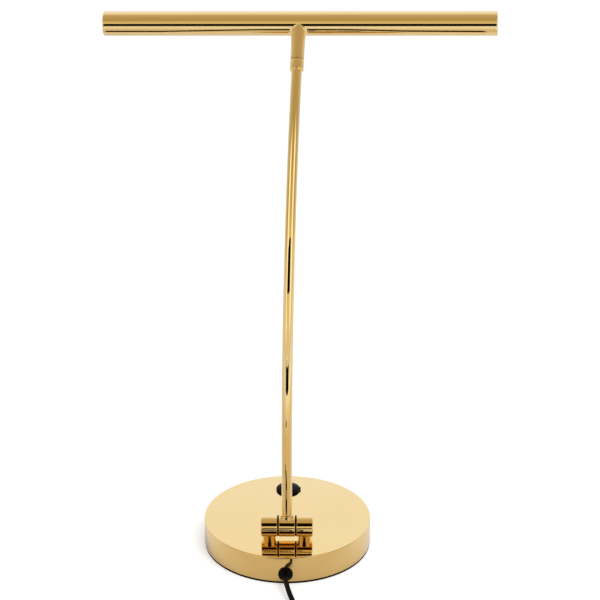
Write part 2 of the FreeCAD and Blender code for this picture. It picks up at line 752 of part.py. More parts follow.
def makeSwivel():
    stemFoot = s.collar_grip + s.seat_gap
    headLow = s.collar_long + s.groove + s.neck_floor + s.seat_gap * 2
    headTop = headLow + s.stem_head_thick
    collar = turned("CollarTurned", [
        (loose(s.rod_radius), 0), (s.collar_radius, 0), (s.collar_radius, s.collar_long),
        (loose(s.stem_radius), s.collar_long), (loose(s.stem_radius), stemFoot),
        (loose(s.rod_radius), stemFoot)])
    bevelled(collar, s.collar_bevel, (s.collar_radius, 0), (s.collar_radius, s.collar_long))
    hole = cylinder("GrubHole", loose(s.grub_radius), s.collar_radius, (0, 0, s.grub_up), (0, -1, 0))
    keep("swivel_collar", onSwivel(cut("Collar", collar, hole)))
    grubLong = s.collar_radius - s.rod_radius - s.grub_sunk
    grub = cylinder("GrubBody", s.grub_radius, grubLong, (0, -s.rod_radius, s.grub_up), (0, -1, 0))
    socket = cylinder("GrubSocket", s.grub_radius / 2, grubLong / 2,
                      (0, -s.rod_radius - grubLong / 2, s.grub_up), (0, -1, 0))
    keep("collar_grub_screw", onSwivel(cut("Grub", grub, socket)))
    washer = ring("SwivelWasherRing", s.swivel_washer_radius, loose(s.stem_radius),
                  s.groove - s.thread_gap * 2, (0, 0, s.collar_long))
    keep("swivel_washer", onSwivel(washer))
    stem = turned("StemTurned", [
        (s.stem_bore, stemFoot), (s.stem_radius, stemFoot), (s.stem_radius, headLow), (s.stem_head, headLow),
        (s.stem_head, headTop), (s.stem_bore, headTop)])
    keep("swivel_stem", onSwivel(stem))


# --- neck and shade ------------------------------------------------------------------------

def makeNeck():
    low = s.collar_long + s.groove
    floorTop = low + s.neck_floor
    body = turned("NeckTurned", [
        (0, low), (s.neck_radius, low), (s.neck_radius, low + s.neck_straight), (s.neck_top_radius, s.reach),
        (0, s.reach)])
    blank = tubeAcross(body, "NeckTube")
    seam = [f"Edge{number}" for number, edge in enumerate(blank.Shape.Edges, start=1)
            if isinstance(edge.Curve, Part.BSplineCurve)]
    blend = body.newObject("PartDesign::Fillet", "NeckBlend")
    blend.Base = (blank, seam)
    bind(blend, "Radius", s.saddle_round)
    doc.recompute()
    trough = alongX("NeckTrough", s.shade_radius, s.shade_long, (0, s.shade_shift, s.reach))
    bore = cylinder("NeckBore", s.neck_bore, s.reach, (0, 0, floorTop))
    eye = cylinder("NeckEye", loose(s.stem_radius), s.reach, (0, 0, 0))
    keep("neck", onHead(cut("Neck", body, trough, bore, eye)))
    washer = ring("NeckWasherRing", s.stem_head, loose(s.stem_radius), s.seat_gap, (0, 0, floorTop))
    keep("neck_washer", onHead(washer))


def tubeAcross(body, name):
    # adds a length of the shade's outside to the neck, so that the two can be blended
    sketch = attach(body, name + "Section", "YZ_Plane")
    centre = Vector(s.shade_shift.value, s.reach.value, 0)
    sketch.addGeometry(Part.Circle(centre, Vector(0, 0, 1), s.shade_radius.value), False)
    pinPoint(sketch, 0, 3, (s.shade_shift, s.reach))
    index = sketch.addConstraint(Sketcher.Constraint("Radius", 0, s.shade_radius.value))
    sketch.setExpression(f"Constraints[{index}]", s.shade_radius.text)
    pad = body.newObject("PartDesign::Pad", name)
    pad.Profile = sketch
    bind(pad, "Length", s.shade_radius * 4)
    pad.Midplane = True
    doc.recompute()
    return pad


def makeShade():
    axis = (0, s.shade_shift, s.reach)
    outside = alongX("ShadeOutside", s.shade_radius, tubeHalf * 2, axis)
    inside = alongX("ShadeInside", shadeInner, tubeHalf * 2, axis)
    slot = block("ShadeSlot", slotHalf * 2, s.shade_radius, s.slot_wide,
                 (0, s.shade_radius / 2 + s.shade_wall + s.shade_shift, s.reach - s.slot_wide / 2))
    hole = cylinder("ShadeHole", loose(s.neck_bore), s.shade_radius, (0, 0, s.reach - s.shade_radius))
    keep("shade_tube", onHead(cut("ShadeTube", outside, inside, slot, hole)))
    makeJoint()
    makeLight()
    for side, word in ((-1, "Left"), (1, "Right")):
        spigot = shadeInner - s.thread_gap
        hollow = spigot - s.cap_wall
        roof = s.cap_flange - s.cap_wall
        cap = turned(f"End{word}", [
            (hollow, -s.cap_spigot), (spigot, -s.cap_spigot), (spigot, 0), (s.shade_radius, 0),
            (s.shade_radius, s.cap_flange), (0, s.cap_flange), (0, roof), (hollow, roof)])
        rounded(cap, s.cap_round, (s.shade_radius, s.cap_flange))
        place(cap, (side * tubeHalf, s.shade_shift, s.reach), turnTo((side, 0, 0)))
        keep(f"end_cap_{word.lower()}", onHead(grouped(f"EndCap{word}", cap)))


def makeJoint():
    # what clamps the neck to the tube from inside: a hollow nipple, a saddle washer and a nut
    low = s.reach - shadeInner
    flat = low + s.saddle_thick
    top = flat + s.nipple_rise
    foot = s.reach - s.shade_radius - s.nipple_reach
    nipple = ring("NippleRing", s.neck_bore - s.thread_gap, s.nipple_bore, top - foot, (0, 0, foot))
    keep("shade_nipple", onHead(nipple))
    slab = block("SaddleSlab", s.saddle_wide, s.saddle_wide, shadeInner, (0, 0, flat - shadeInner))
    curve = alongX("SaddleRound", shadeInner - s.thread_gap, s.saddle_wide * 2, (0, s.shade_shift, s.reach))
    eye = cylinder("SaddleEye", loose(s.neck_bore), s.shade_radius, (0, 0, low - s.shade_wall))
    keep("saddle_washer", onHead(cut("SaddleWasher", common("SaddleBody", slab, curve), eye)))
    nut = hexagon("ShadeNutHex", s.shade_nut_flats, s.shade_nut_thick, (0, 0, flat))
    bore = cylinder("ShadeNutBore", loose(s.neck_bore), s.shade_nut_thick, (0, 0, flat))
    keep("shade_nut", onHead(cut("ShadeNut", nut, bore)))


def makeLight():
    inner = shadeInner - s.thread_gap
    half = slotHalf
    back = s.shade_radius * 2
    axis = (0, s.shade_shift, s.reach)
    face = s.shade_shift - s.sink_face
    bar = alongX("SinkRound", inner, half * 2, axis)
    side = block("SinkSide", half * 2, back, back, (0, face - back / 2, s.reach - back / 2))
    keep("heat_sink", onHead(common("HeatSink", bar, side)))
    board = block("BoardBlock", half * 2 - s.board_wide, s.board_thick, s.board_wide,
                  (0, face + s.board_thick / 2, s.reach - s.board_wide / 2))
    keep("led_board", onHead(grouped("LedBoard", board)))
    count = SIZES["chip_count"]
    chips = [block(f"Chip{number}", s.chip_wide, s.chip_thick, s.chip_wide,
                   (s.chip_pitch * (number - (count - 1) / 2), face + s.board_thick + s.chip_thick / 2,
                    s.reach - s.chip_wide / 2)) for number in range(count)]
    keep("led_chips", onHead(grouped("Chips", *chips)))
    # the lens: a curved strip behind the slot with a rib that fills it
    outer = alongX("LensOuter", inner, half * 2 + s.lens_lap * 2, axis)
    rib = alongX("LensRib", s.shade_radius - s.seat_gap, half * 2 - s.seat_gap * 2, axis)
    core = alongX("LensCore", inner - s.lens_thick, s.shade_long, axis)
    wide = s.slot_wide + s.lens_lap * 2
    strip = block("LensStrip", s.shade_long, s.shade_radius, wide,
                  (0, s.shade_radius / 2 + s.shade_shift, s.reach - wide / 2))
    thin = s.slot_wide - s.seat_gap * 2
    bar = block("LensBar", s.shade_long, s.shade_radius, thin,
                (0, s.shade_radius / 2 + s.shade_shift, s.reach - thin / 2))
    solid = fused("LensSolid", common("LensBack", outer, strip), common("LensFront", rib, bar))
    keep("diffuser", onHead(cut("Diffuser", solid, core)))


# --- leads and cord ------------------------------------------------------------------------

def roundedPath(points, say=None):
    # straight runs joined by tangent arcs, each as large as its two runs allow
    spots = [Vector(*point) for point in points]
    edges = []
    radii = []
    start = spots[0]
    for before, corner, after in zip(spots, spots[1:], spots[2:]):
        into = corner - before
        away = after - corner
        turn = into.getAngle(away)
        radius = 0.45 * min(into.Length, away.Length) / math.tan(turn / 2)
        reach = radius * math.tan(turn / 2)
        into.normalize()
        away.normalize()
        first = corner - into * reach
        last = corner + away * reach
        inward = (away - into).normalize()
        middle = corner + inward * (radius / math.cos(turn / 2) - radius)
        edges.append(Part.LineSegment(start, first).toShape())
        edges.append(Part.Arc(first, middle, last).toShape())
        radii.append(radius)
        start = last
    edges.append(Part.LineSegment(start, spots[-1]).toShape())
    wire = Part.Wire(edges)
    if say:
        print(say, "length", round(wire.Length, 1), "bend radii", [round(radius) for radius in radii])
    return wire


def tube(name, points, radius, say=None):
    wire = roundedPath(points, say)
    start = Vector(*points[0])
    section = Part.Wire([Part.Circle(start, Vector(*points[1]) - start, radius).toShape()])
    solid = wire.makePipeShell([section], True, False)
    expected = math.pi * radius ** 2 * wire.Length
    if abs(solid.Volume / expected - 1) > 0.01:
        raise ValueError(f"{name}: volume {solid.Volume:.0f}, section times length {expected:.0f}")
    feature = doc.addObject("Part::Feature", name)
    feature.Shape = solid
    return feature


def makeLeads():
    # the cord's inner end, the pair that rises into the left post and the dimmer's pair
    half = s.driver_wide.value / 2
    back = s.inlet_inside.value - s.base_radius.value
    rise = s.inlet_rise.value
    shift = s.inlet_shift.value
    supply = [(shift, back, rise), (shift, back + 14, rise), (shift + 3, back + 36, rise + 1),
              (shift, -half - 14, rise), (shift, -half, rise)]
    post = -barrelCentre.value
    y = hingeY.value
    level = plateTop.value + s.driver_thick.value - s.lead_radius.value * 2
    side = post * 0.4
    rising = [(side, -half, level), (side, -half - 10, level), (side, y + 13, level + 0.7),
              (post * 0.7, y + 2, level + 2), (post, y, level + 6), (post, y, shellTop.value)]
    front = dimmerY.value - s.tag_thick.value / 2
    feed = [(0, half, level), (0, half + 11, level + 0.4), (0.8, half + 25, level - 0.2),
            (0, front - 8, level + 0.3), (0, front, level + 0.3)]
    keep("base_leads", grouped(
        "BaseLeads", tube("SupplyLead", supply, s.cord_radius.value, "supply lead"),
        tube("PostLead", rising, s.lead_radius.value, "post lead"),
        tube("DimmerLead", feed, s.lead_radius.value, "dimmer lead")))


def makeArmLead():
    # the pair of leads lies against the inside of the rod's bend
    body = doc.addObject("PartDesign::Body", "ArmLead")
    offset = s.rod_radius - s.rod_wall - s.lead_radius - s.thread_gap
    foot = s.rod_foot + s.lead_radius
    path = attach(body, "ArmLeadPath", "YZ_Plane")
    drawBend(path, foot, offset, s.collar_grip)
    section = attach(body, "ArmLeadSection", "XY_Plane")
    section.AttachmentOffset = Placement(Vector(0, 0, foot.value), Rotation())
    section.setExpression("AttachmentOffset.Base.z", foot.text)
    section.addGeometry(Part.Circle(Vector(0, offset.value, 0), Vector(0, 0, 1), s.lead_radius.value), False)
    pinPoint(section, 0, 3, (0, offset))
    index = section.addConstraint(Sketcher.Constraint("Radius", 0, s.lead_radius.value))
    section.setExpression(f"Constraints[{index}]", s.lead_radius.text)
    pipe = body.newObject("PartDesign::AdditivePipe", "ArmLeadPipe")
    pipe.Profile = section
    pipe.Spine = path
    place(body, (0, hingeY, hingeZ), Rotation(Vector(0, 0, 1), -s.arm_turn.value))
    keep("arm_lead", body)


def makeCord():
    radius = s.cord_radius.value
    x = s.inlet_shift.value
    face = -s.base_radius.value - s.inlet_proud.value
    rise = s.inlet_rise.value
    floor = radius + 0.05
    # the route from the inlet down to the floor and on to the coil
    route = [(x, face, rise), (x, face - 8, rise), (x + 1.7, face - 18, rise - 1.5),
             (x + 4.9, face - 30.5, rise - 5.3), (9.3, -150, floor + 0.5), (12.6, -167, floor),
             (13.6, -185, floor + 0.4), (13.4, -209, floor + 0.1)]
    keep("power_cord", tube("PowerCord", route, radius, "cord to the coil"))
    low = s.thread_gap
    top = low + s.coil_high
    coil = turned("CordCoil", [(s.coil_inner, low), (s.coil_outer, low), (s.coil_outer, top),
                               (s.coil_inner, top)])
    rounded(coil, s.cord_radius, (s.coil_inner, low), (s.coil_outer, low), (s.coil_outer, top),
            (s.coil_inner, top))
    keep("cord_coil", place(coil, (s.coil_x, s.coil_y, 0)))
    makeTie()
    makePlug()


def makeTie():
    # a strap over the coil's turns with its ends on the floor
    middle = (s.coil_inner + s.coil_outer) / 2
    sheets = []
    for name, gap in (("TieOutside", s.seat_gap + s.tie_thick), ("TieInside", s.seat_gap)):
        arch = block(name, s.coil_outer - s.coil_inner + gap * 2, s.tie_wide, s.coil_high + gap,
                     (middle, 0, s.thread_gap))
        doc.recompute()
        top = arch.Shape.BoundBox.ZMax
        edges = [number for number, edge in enumerate(arch.Shape.Edges, start=1)
                 if abs(edge.CenterOfMass.z - top) < 0.001 and abs(edge.CenterOfMass.y) < 0.001]
        soft = doc.addObject("Part::Fillet", name + "Soft")
        soft.Base = arch
        curve = (s.cord_radius + gap).value
        soft.Edges = [(number, curve, curve) for number in edges]
        sheets.append(soft)
    tie = cut("CordTie", *sheets)
    keep("cord_tie", place(tie, (s.coil_x, s.coil_y, 0), Rotation(Vector(0, 0, 1), s.tie_turn.value)))


def makePlug():
    # lies beside the coil, flat on the floor, its blades pointing away from the lamp's middle
    radius = s.cord_radius.value
    thick = s.plug_thick.value
    end = s.coil_x.value - s.plug_away.value
    line = s.coil_y.value - s.plug_back.value
    middle = thick / 2 + s.thread_gap.value
    tail = [(end + 32, line + 0.9, middle + 1.3), (end + 22, line - 0.1, middle + 0.6),
            (end + 10, line, middle), (end, line, middle)]
    keep("cord_tail", tube("CordTail", tail, radius, "cord to the plug"))
    long = s.plug_long.value
    wide = s.plug_wide.value
    back = end - s.relief_long.value
    front = back + s.relief_lap.value - long
    relief = Part.makeCone(s.relief_root.value, s.relief_tip.value, s.relief_long.value,
                           Vector(back, line, middle), Vector(1, 0, 0))
    case = Part.makeBox(long, wide, thick, Vector(front, line - wide / 2, middle - thick / 2))
    upright = [edge for edge in case.Edges if abs(edge.tangentAt(edge.FirstParameter).z) > 0.9]
    case = case.makeFillet(s.plug_corner.value, upright)
    flat = [edge for edge in case.Edges if abs(edge.tangentAt(edge.FirstParameter).z) < 0.1]
    case = case.makeFillet(s.plug_edge.value, flat)
    body = doc.addObject("Part::Feature", "PlugBody")
    body.Shape = case.fuse(relief).removeSplitter()
    keep("plug_body", body)
    blades = []
    for side in (-1, 1):
        bladeY = line + (side * s.blade_pitch.value - s.blade_thick.value) / 2
        blades.append(Part.makeBox(
            s.blade_long.value, s.blade_thick.value, s.blade_wide.value,
            Vector(front - s.blade_long.value, bladeY, middle - s.blade_wide.value / 2)))
    pair = doc.addObject("Part::Feature", "PlugBlades")
    pair.Shape = Part.makeCompound(blades)
    keep("plug_blades", pair)


# --- the whole lamp ------------------------------------------------------------------------

def writeParts():
    doc.recompute()
    for thing in doc.Objects:
        if "Invalid" in thing.State or "Error" in thing.State:
            raise ValueError(f"{thing.Name} failed: {thing.State}")
    for piece in pieces:
        if piece.Shape.isNull() or not piece.Shape.isValid() or not piece.Shape.Solids:
            raise ValueError(f"{piece.Label} has no valid shape")
    for piece in pieces:
        piece.Shape.exportStep(f"parts/{piece.Label}.step")
    print(len(pieces), "sub-parts")


makeBase()
makeDriver()
makeInlet()
makeDimmer()
makeHinge()
makeRod()
makeSwivel()
makeNeck()
makeShade()
makeLeads()
makeArmLead()
makeCord()
writeParts()
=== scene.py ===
import bmesh
import bpy
import json
import math
from mathutils import Matrix, Vector

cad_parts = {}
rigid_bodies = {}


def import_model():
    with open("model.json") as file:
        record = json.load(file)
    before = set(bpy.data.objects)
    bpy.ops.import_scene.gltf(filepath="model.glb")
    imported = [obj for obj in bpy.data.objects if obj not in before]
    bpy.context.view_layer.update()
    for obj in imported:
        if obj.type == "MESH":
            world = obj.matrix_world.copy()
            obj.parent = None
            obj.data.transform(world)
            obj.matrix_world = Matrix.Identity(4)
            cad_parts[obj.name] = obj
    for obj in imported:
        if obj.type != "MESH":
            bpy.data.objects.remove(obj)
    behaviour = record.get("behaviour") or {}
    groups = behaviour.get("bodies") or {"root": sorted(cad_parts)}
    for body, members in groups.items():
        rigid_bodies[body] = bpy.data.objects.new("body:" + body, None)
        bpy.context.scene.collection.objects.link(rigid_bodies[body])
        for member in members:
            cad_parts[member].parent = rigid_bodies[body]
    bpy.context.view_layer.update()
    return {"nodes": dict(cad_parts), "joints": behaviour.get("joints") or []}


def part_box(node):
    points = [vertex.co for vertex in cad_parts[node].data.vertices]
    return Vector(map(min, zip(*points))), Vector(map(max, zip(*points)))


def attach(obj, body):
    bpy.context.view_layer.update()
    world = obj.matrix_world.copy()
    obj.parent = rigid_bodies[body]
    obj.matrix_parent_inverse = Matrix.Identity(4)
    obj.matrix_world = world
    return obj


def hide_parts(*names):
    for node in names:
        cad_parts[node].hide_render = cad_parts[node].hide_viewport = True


for left in list(bpy.data.objects):
    bpy.data.objects.remove(left)
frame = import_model()
joints = {joint["name"]: joint for joint in frame["joints"]}
print("frame loaded")


# places that the frame gives

def middleOf(node):
    low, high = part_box(node)
    return (low + high) / 2


def sizeOf(node):
    low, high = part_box(node)
    return high - low


shellLow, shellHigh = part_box("base_shell")
baseRadius = shellHigh.x
baseTop = shellHigh.z
hinge = Vector(joints["arm_tilt"]["pos_m"])
swivel = Vector(joints["head_swivel"]["pos_m"])
rodEnd = Vector(joints["head_swivel"]["axis"])
lean = math.acos(rodEnd.z)
turn = math.atan2(rodEnd.x, rodEnd.y)
rodRadius = hinge.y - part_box("arm_rod")[0].y
barrelRadius = sizeOf("hinge_barrel_left").z / 2

# the swivel's own frame: Z along the rod's end, X across it, its origin at the top of the collar
swivelPlace = Matrix.Translation(swivel) @ Matrix.Rotation(-turn, 4, "Z") @ Matrix.Rotation(-lean, 4, "X")
acrossShade = swivelPlace.inverted().to_3x3() @ (middleOf("end_cap_right") - middleOf("end_cap_left"))
headPlace = swivelPlace @ Matrix.Rotation(math.atan2(acrossShade.y, acrossShade.x), 4, "Z")
shadeCentre = headPlace.inverted() @ middleOf("shade_tube")
shadeHeight = shadeCentre.z
shadeShift = shadeCentre.y


# camera

cameraSizes = {"place": (0.0341, -2.7184, 1.5915), "tilt": 64.98, "swing": 0.4, "lens": 154.92}


def makeCamera():
    lens = bpy.data.cameras.new("camera")
    lens.lens = cameraSizes["lens"]
    lens.sensor_width = 36
    lens.clip_end = 100
    camera = bpy.data.objects.new("camera", lens)
    bpy.context.scene.collection.objects.link(camera)
    camera.location = cameraSizes["place"]
    camera.rotation_euler = (math.radians(cameraSizes["tilt"]), 0, math.radians(cameraSizes["swing"]))
    bpy.context.scene.camera = camera


# helpers for materials

def newMaterial(name, color, metallic, roughness, sockets=()):
    material = bpy.data.materials.new(name)
    material.use_nodes = True
    inputs = material.node_tree.nodes["Principled BSDF"].inputs
    inputs["Base Color"].default_value = (*color, 1)
    inputs["Metallic"].default_value = metallic
    inputs["Roughness"].default_value = roughness
    for socket, value in dict(sockets).items():
        inputs[socket].default_value = value
    return material


def addNode(material, kind, inputs=(), **settings):
    # a new node, its inputs set by name to a value or joined to another node's output
    node = material.node_tree.nodes.new("ShaderNode" + kind)
    for setting, value in settings.items():
        setattr(node, setting, value)
    for socket, value in dict(inputs).items():
        if isinstance(value, bpy.types.NodeSocket):
            material.node_tree.links.new(value, node.inputs[socket])
        else:
            node.inputs[socket].default_value = value
    return node


def objectSpot(material, scale=(1, 1, 1)):
    spot = addNode(material, "TexCoord").outputs["Object"]
    return addNode(material, "Mapping", {"Vector": spot, "Scale": scale}).outputs["Vector"]


def noise(material, scale, detail=2.0, spot=None, roughness=0.5):
    made = addNode(material, "TexNoise", {
        "Vector": spot or objectSpot(material), "Scale": scale, "Detail": detail, "Roughness": roughness})
    return made.outputs["Fac"]


def spread(material, value, low, high, fromLow=0.3, fromHigh=0.7):
    # a value between two heights stretched to run from low to high
    made = addNode(material, "MapRange", {
        "Value": value, "From Min": fromLow, "From Max": fromHigh, "To Min": low, "To Max": high})
    return made.outputs["Result"]


def tint(material, value, *stops):
    # a colour for each height of value: stops are (height, color)
    ramp = addNode(material, "ValToRGB", {"Fac": value})
    points = ramp.color_ramp.elements
    while len(points) < len(stops):
        points.new(0.5)
    for point, (height, color) in zip(points, stops):
        point.position = height
        point.color = (*color, 1)
    return ramp.outputs["Color"]


def calc(material, operation, first, second=0.0):
    made = addNode(material, "Math", {0: first, 1: second}, operation=operation)
    return made.outputs["Value"]


def blend(material, share, first, second):
    # from one colour to another, share being 0 to 1
    made = addNode(material, "Mix", {"Factor": share, "A": first, "B": second}, data_type="RGBA")
    return made.outputs["Result"]


def plug(material, socket, value):
    shader = material.node_tree.nodes["Principled BSDF"]
    material.node_tree.links.new(value, shader.inputs[socket])


def bumpy(material, value, depth, distance=0.001):
    made = addNode(material, "Bump", {"Height": value, "Strength": depth, "Distance": distance})
    plug(material, "Normal", made.outputs["Normal"])


# materials

brassLook = {"color": (0.89, 0.67, 0.3), "warm": (0.88, 0.65, 0.275), "gloss": 0.03, "worn": 0.06,
             "coat": 1.0, "coatGloss": 0.03, "clouds": 9.0, "streaks": 60.0, "ripples": 240.0,
             "depth": 0.01}


def makeBrass():
    # lacquered polished plate: cloudy warmth, faint wiping streaks, a trace of ripple in the polish
    look = brassLook
    brass = newMaterial("brass", look["color"], 1.0, look["gloss"],
                        {"Coat Weight": look["coat"], "Coat Roughness": look["coatGloss"]})
    clouds = noise(brass, look["clouds"], 3.0)
    plug(brass, "Base Color", tint(brass, clouds, (0.3, look["warm"]), (0.7, look["color"])))
    streaks = noise(brass, look["streaks"], 6.0, objectSpot(brass, (1, 1, 6)), 0.65)
    plug(brass, "Roughness", spread(brass, streaks, look["gloss"], look["worn"], 0.4, 0.75))
    bumpy(brass, noise(brass, look["ripples"]), look["depth"], 0.0005)
    return brass


# the two black finishes: from dark to light in blotches, from smooth to rough in a fine grain
blackLooks = {
    "blackPlastic": {"dark": (0.002, 0.002, 0.002), "light": (0.005, 0.004, 0.004), "blotches": 120.0,
                     "smooth": 0.26, "rough": 0.42, "grain": 900.0, "detail": 4.0, "depth": 0.12,
                     "shine": 0.06},
    "cordJacket": {"dark": (0.003, 0.002, 0.002), "light": (0.006, 0.005, 0.005), "blotches": 40.0,
                   "smooth": 0.34, "rough": 0.52, "grain": 500.0, "detail": 5.0, "depth": 0.15,
                   "shine": 0.08}}


def makeBlack(name):
    look = blackLooks[name]
    black = newMaterial(name, look["dark"], 0.0, look["rough"], {"Specular IOR Level": look["shine"]})
    grain = noise(black, look["grain"], look["detail"])
    blotches = noise(black, look["blotches"])
    plug(black, "Roughness", spread(black, grain, look["smooth"], look["rough"]))
    plug(black, "Base Color", tint(black, blotches, (0.3, look["dark"]), (0.7, look["light"])))
    bumpy(black, grain, look["depth"], 0.0002)
    return black


foamLook = {"dark": (0.002, 0.002, 0.002), "light": (0.007, 0.006, 0.006), "pores": 900.0, "depth": 0.5}


def makeFoam():
    foam = newMaterial("padFoam", foamLook["dark"], 0.0, 0.9, {"Specular IOR Level": 0.1})
    pores = addNode(foam, "TexVoronoi", {"Vector": objectSpot(foam), "Scale": foamLook["pores"]})
    pores = pores.outputs["Distance"]
    plug(foam, "Base Color", tint(foam, pores, (0.0, foamLook["dark"]), (0.6, foamLook["light"])))
    bumpy(foam, pores, foamLook["depth"], 0.0004)
    return foam


def makeMetal(name, color, roughness, grain, stretch=(1, 1, 1), depth=0.05):
    # a bare metal with blotches of a duller tone and fine marks, stretched along its drawn length
    metal = newMaterial(name, color, 1.0, roughness)
    marks = noise(metal, grain, 4.0, objectSpot(metal, stretch))
    dull = tuple(part * 0.82 for part in color)
    plug(metal, "Base Color", tint(metal, noise(metal, grain / 8), (0.3, dull), (0.7, color)))
    plug(metal, "Roughness", spread(metal, marks, roughness * 0.8, roughness * 1.3))
    bumpy(metal, marks, depth, 0.0003)
    return metal


ironLook = {"dark": (0.05, 0.048, 0.046), "light": (0.12, 0.115, 0.11), "lumps": 180.0, "depth": 0.6}


def makeIron():
    iron = newMaterial("castIron", ironLook["light"], 0.6, 0.7)
    lumps = noise(iron, ironLook["lumps"], 8.0)
    plug(iron, "Base Color", tint(iron, lumps, (0.3, ironLook["dark"]), (0.7, ironLook["light"])))
    plug(iron, "Roughness", spread(iron, lumps, 0.6, 0.85))
    bumpy(iron, lumps, ironLook["depth"], 0.0006)
    return iron


def makeMoulded(name, color, roughness, grain=300.0, sockets=()):
    moulded = newMaterial(name, color, 0.0, roughness, sockets)
    marks = noise(moulded, grain, 4.0)
    shade = tuple(part * 0.9 for part in color)
    plug(moulded, "Base Color", tint(moulded, noise(moulded, grain / 10), (0.3, shade), (0.7, color)))
    plug(moulded, "Roughness", spread(moulded, marks, roughness * 0.85, min(1.0, roughness * 1.2)))
    bumpy(moulded, marks, 0.1, 0.0002)
    return moulded


brass = makeBrass()
blackPlastic = makeBlack("blackPlastic")
cordJacket = makeBlack("cordJacket")
foam = makeFoam()
steel = makeMetal("zincSteel", (0.58, 0.59, 0.61), 0.34, 420.0)
nickel = makeMetal("nickel", (0.66, 0.63, 0.58), 0.18, 500.0)
aluminium = makeMetal("millAluminium", (0.8, 0.8, 0.82), 0.32, 300.0, (0.05, 1, 1), 0.12)
iron = makeIron()
driverCase = makeMoulded("driverCase", (0.75, 0.75, 0.72), 0.5)
boardMask = makeMoulded("boardMask", (0.82, 0.83, 0.81), 0.35)
phosphor = makeMoulded("phosphor", (0.86, 0.66, 0.16), 0.3, 900.0)
# near black, partly the washers' own dark tone and partly painted shade, so the narrow gaps between the
# hinge barrels read dark
frictionWasher = makeMoulded("frictionWasher", (0.004, 0.004, 0.004), 0.75,
                             sockets={"Specular IOR Level": 0.05})
milkyLens = makeMoulded("milkyLens", (0.86, 0.86, 0.84), 0.38,
                        sockets={"Subsurface Weight": 0.35, "Subsurface Scale": 0.004})
# finishes of the pieces that stay as the frame brings them
frameFinish = {
    "bottom_plate": steel, "ballast": iron, "base_pillars": steel, "base_screws": steel,
    "led_driver": driverCase, "dimmer_module": driverCase, "dimmer_nut": nickel, "base_leads": cordJacket,
    "post_nuts": steel, "hinge_pivot": steel, "hinge_ring_nuts": steel, "hinge_washers": frictionWasher,
    "arm_lead": cordJacket, "collar_grub_screw": steel, "swivel_stem": steel,
    "swivel_washer": frictionWasher, "neck_washer": steel, "shade_nipple": steel, "saddle_washer": steel,
    "shade_nut": steel, "heat_sink": aluminium, "led_board": boardMask, "led_chips": phosphor,
    "dimmer_shaft": nickel, "cord_tie": blackPlastic, "plug_body": blackPlastic, "plug_blades": nickel}
print("materials made")


# helpers for shapes

def newShape():
    return bmesh.new()


def closeShape(shape):
    bmesh.ops.remove_doubles(shape, verts=shape.verts, dist=2e-7)
    bmesh.ops.recalc_face_normals(shape, faces=shape.faces)
    return shape


def moved(shape, place):
    bmesh.ops.transform(shape, matrix=place, verts=shape.verts)
    return shape


def joined(*shapes):
    whole = shapes[0]
    for other in shapes[1:]:
        mesh = bpy.data.meshes.new("part")
        other.to_mesh(mesh)
        other.free()
        whole.from_mesh(mesh)
        bpy.data.meshes.remove(mesh)
    return whole


def pulledOut(shape, edges):
    # extrudes a ring of edges and gives the new ring's vertices and edges
    grown = bmesh.ops.extrude_edge_only(shape, edges=edges)["geom"]
    return ([item for item in grown if isinstance(item, bmesh.types.BMVert)],
            [item for item in grown if isinstance(item, bmesh.types.BMEdge)])


def cutAt(shape, point, normal):
    bmesh.ops.bisect_plane(shape, geom=shape.verts[:] + shape.edges[:] + shape.faces[:], plane_co=point,
                           plane_no=normal, dist=1e-7)


def drawOutline(shape, points, closed=True, steps=6):
    # an outline in the XZ plane; a point's third value rounds its corner
    ends = [shape.verts.new((point[0], 0, point[1])) for point in points]
    for first, second in zip(ends, ends[1:] + ends[:1] * closed):
        shape.edges.new((first, second))
    for rounding in sorted({point[2] for point in points if len(point) == 3}):
        corners = [end for end, point in zip(ends, points) if len(point) == 3 and point[2] == rounding]
        bmesh.ops.bevel(shape, geom=corners, affect="VERTICES", offset=rounding, segments=steps,
                        profile=0.5, material=-1)
    return shape


def spunShape(points, steps=96, closed=True):
    # the outline turned once round Z, its ends on the axis left open where it isn't closed
    shape = drawOutline(newShape(), points, closed)
    bmesh.ops.spin(shape, geom=shape.verts[:] + shape.edges[:], cent=(0, 0, 0), axis=(0, 0, 1),
                   dvec=(0, 0, 0), angle=math.tau, steps=steps, use_merge=True)
    return closeShape(shape)


def alongX(centre):
    return Matrix.Translation(centre) @ Matrix.Rotation(math.pi / 2, 4, "Y")


def addPiece(name, shape, material):
    mesh = bpy.data.meshes.new(name)
    shape.to_mesh(mesh)
    shape.free()
    mesh.materials.append(material)
    piece = bpy.data.objects.new(name, mesh)
    bpy.context.scene.collection.objects.link(piece)
    return piece


sharpFrom = math.radians(30)  # faces that meet at more than this keep a crisp edge


def finishPiece(name, shape, body, slot, material, *nodes):
    # a piece in its material, on the body that carries it, in place of these nodes
    piece = addPiece(name, shape, material)
    piece.data.shade_smooth()
    piece.data.set_sharp_from_angle(angle=sharpFrom)
    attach(piece, body)
    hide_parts(*nodes)
    return piece


# base

baseSizes = {"wall": 0.0015, "rim": 0.0014, "foldIn": 0.0004, "padRim": 0.0006, "around": 256}


def makeBase():
    around = baseSizes["around"]
    low = shellLow.z
    inside = baseRadius - baseSizes["wall"]
    ceiling = baseTop - baseSizes["wall"]
    shape = spunShape([
        (0, baseTop), (baseRadius, baseTop, baseSizes["rim"]), (baseRadius, low, baseSizes["foldIn"]),
        (inside, low), (inside, ceiling), (0, ceiling)], around, closed=False)
    finishPiece("baseShell", shape, "base", "brass", brass, "base_shell")
    padLow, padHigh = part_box("foot_pad")
    edge = baseSizes["padRim"]
    shape = spunShape([(0, padHigh.z), (padHigh.x, padHigh.z, edge), (padHigh.x, padLow.z, edge),
                       (0, padLow.z)], around, closed=False)
    finishPiece("footPad", shape, "base", "pad", foam, "foot_pad")


# hinge

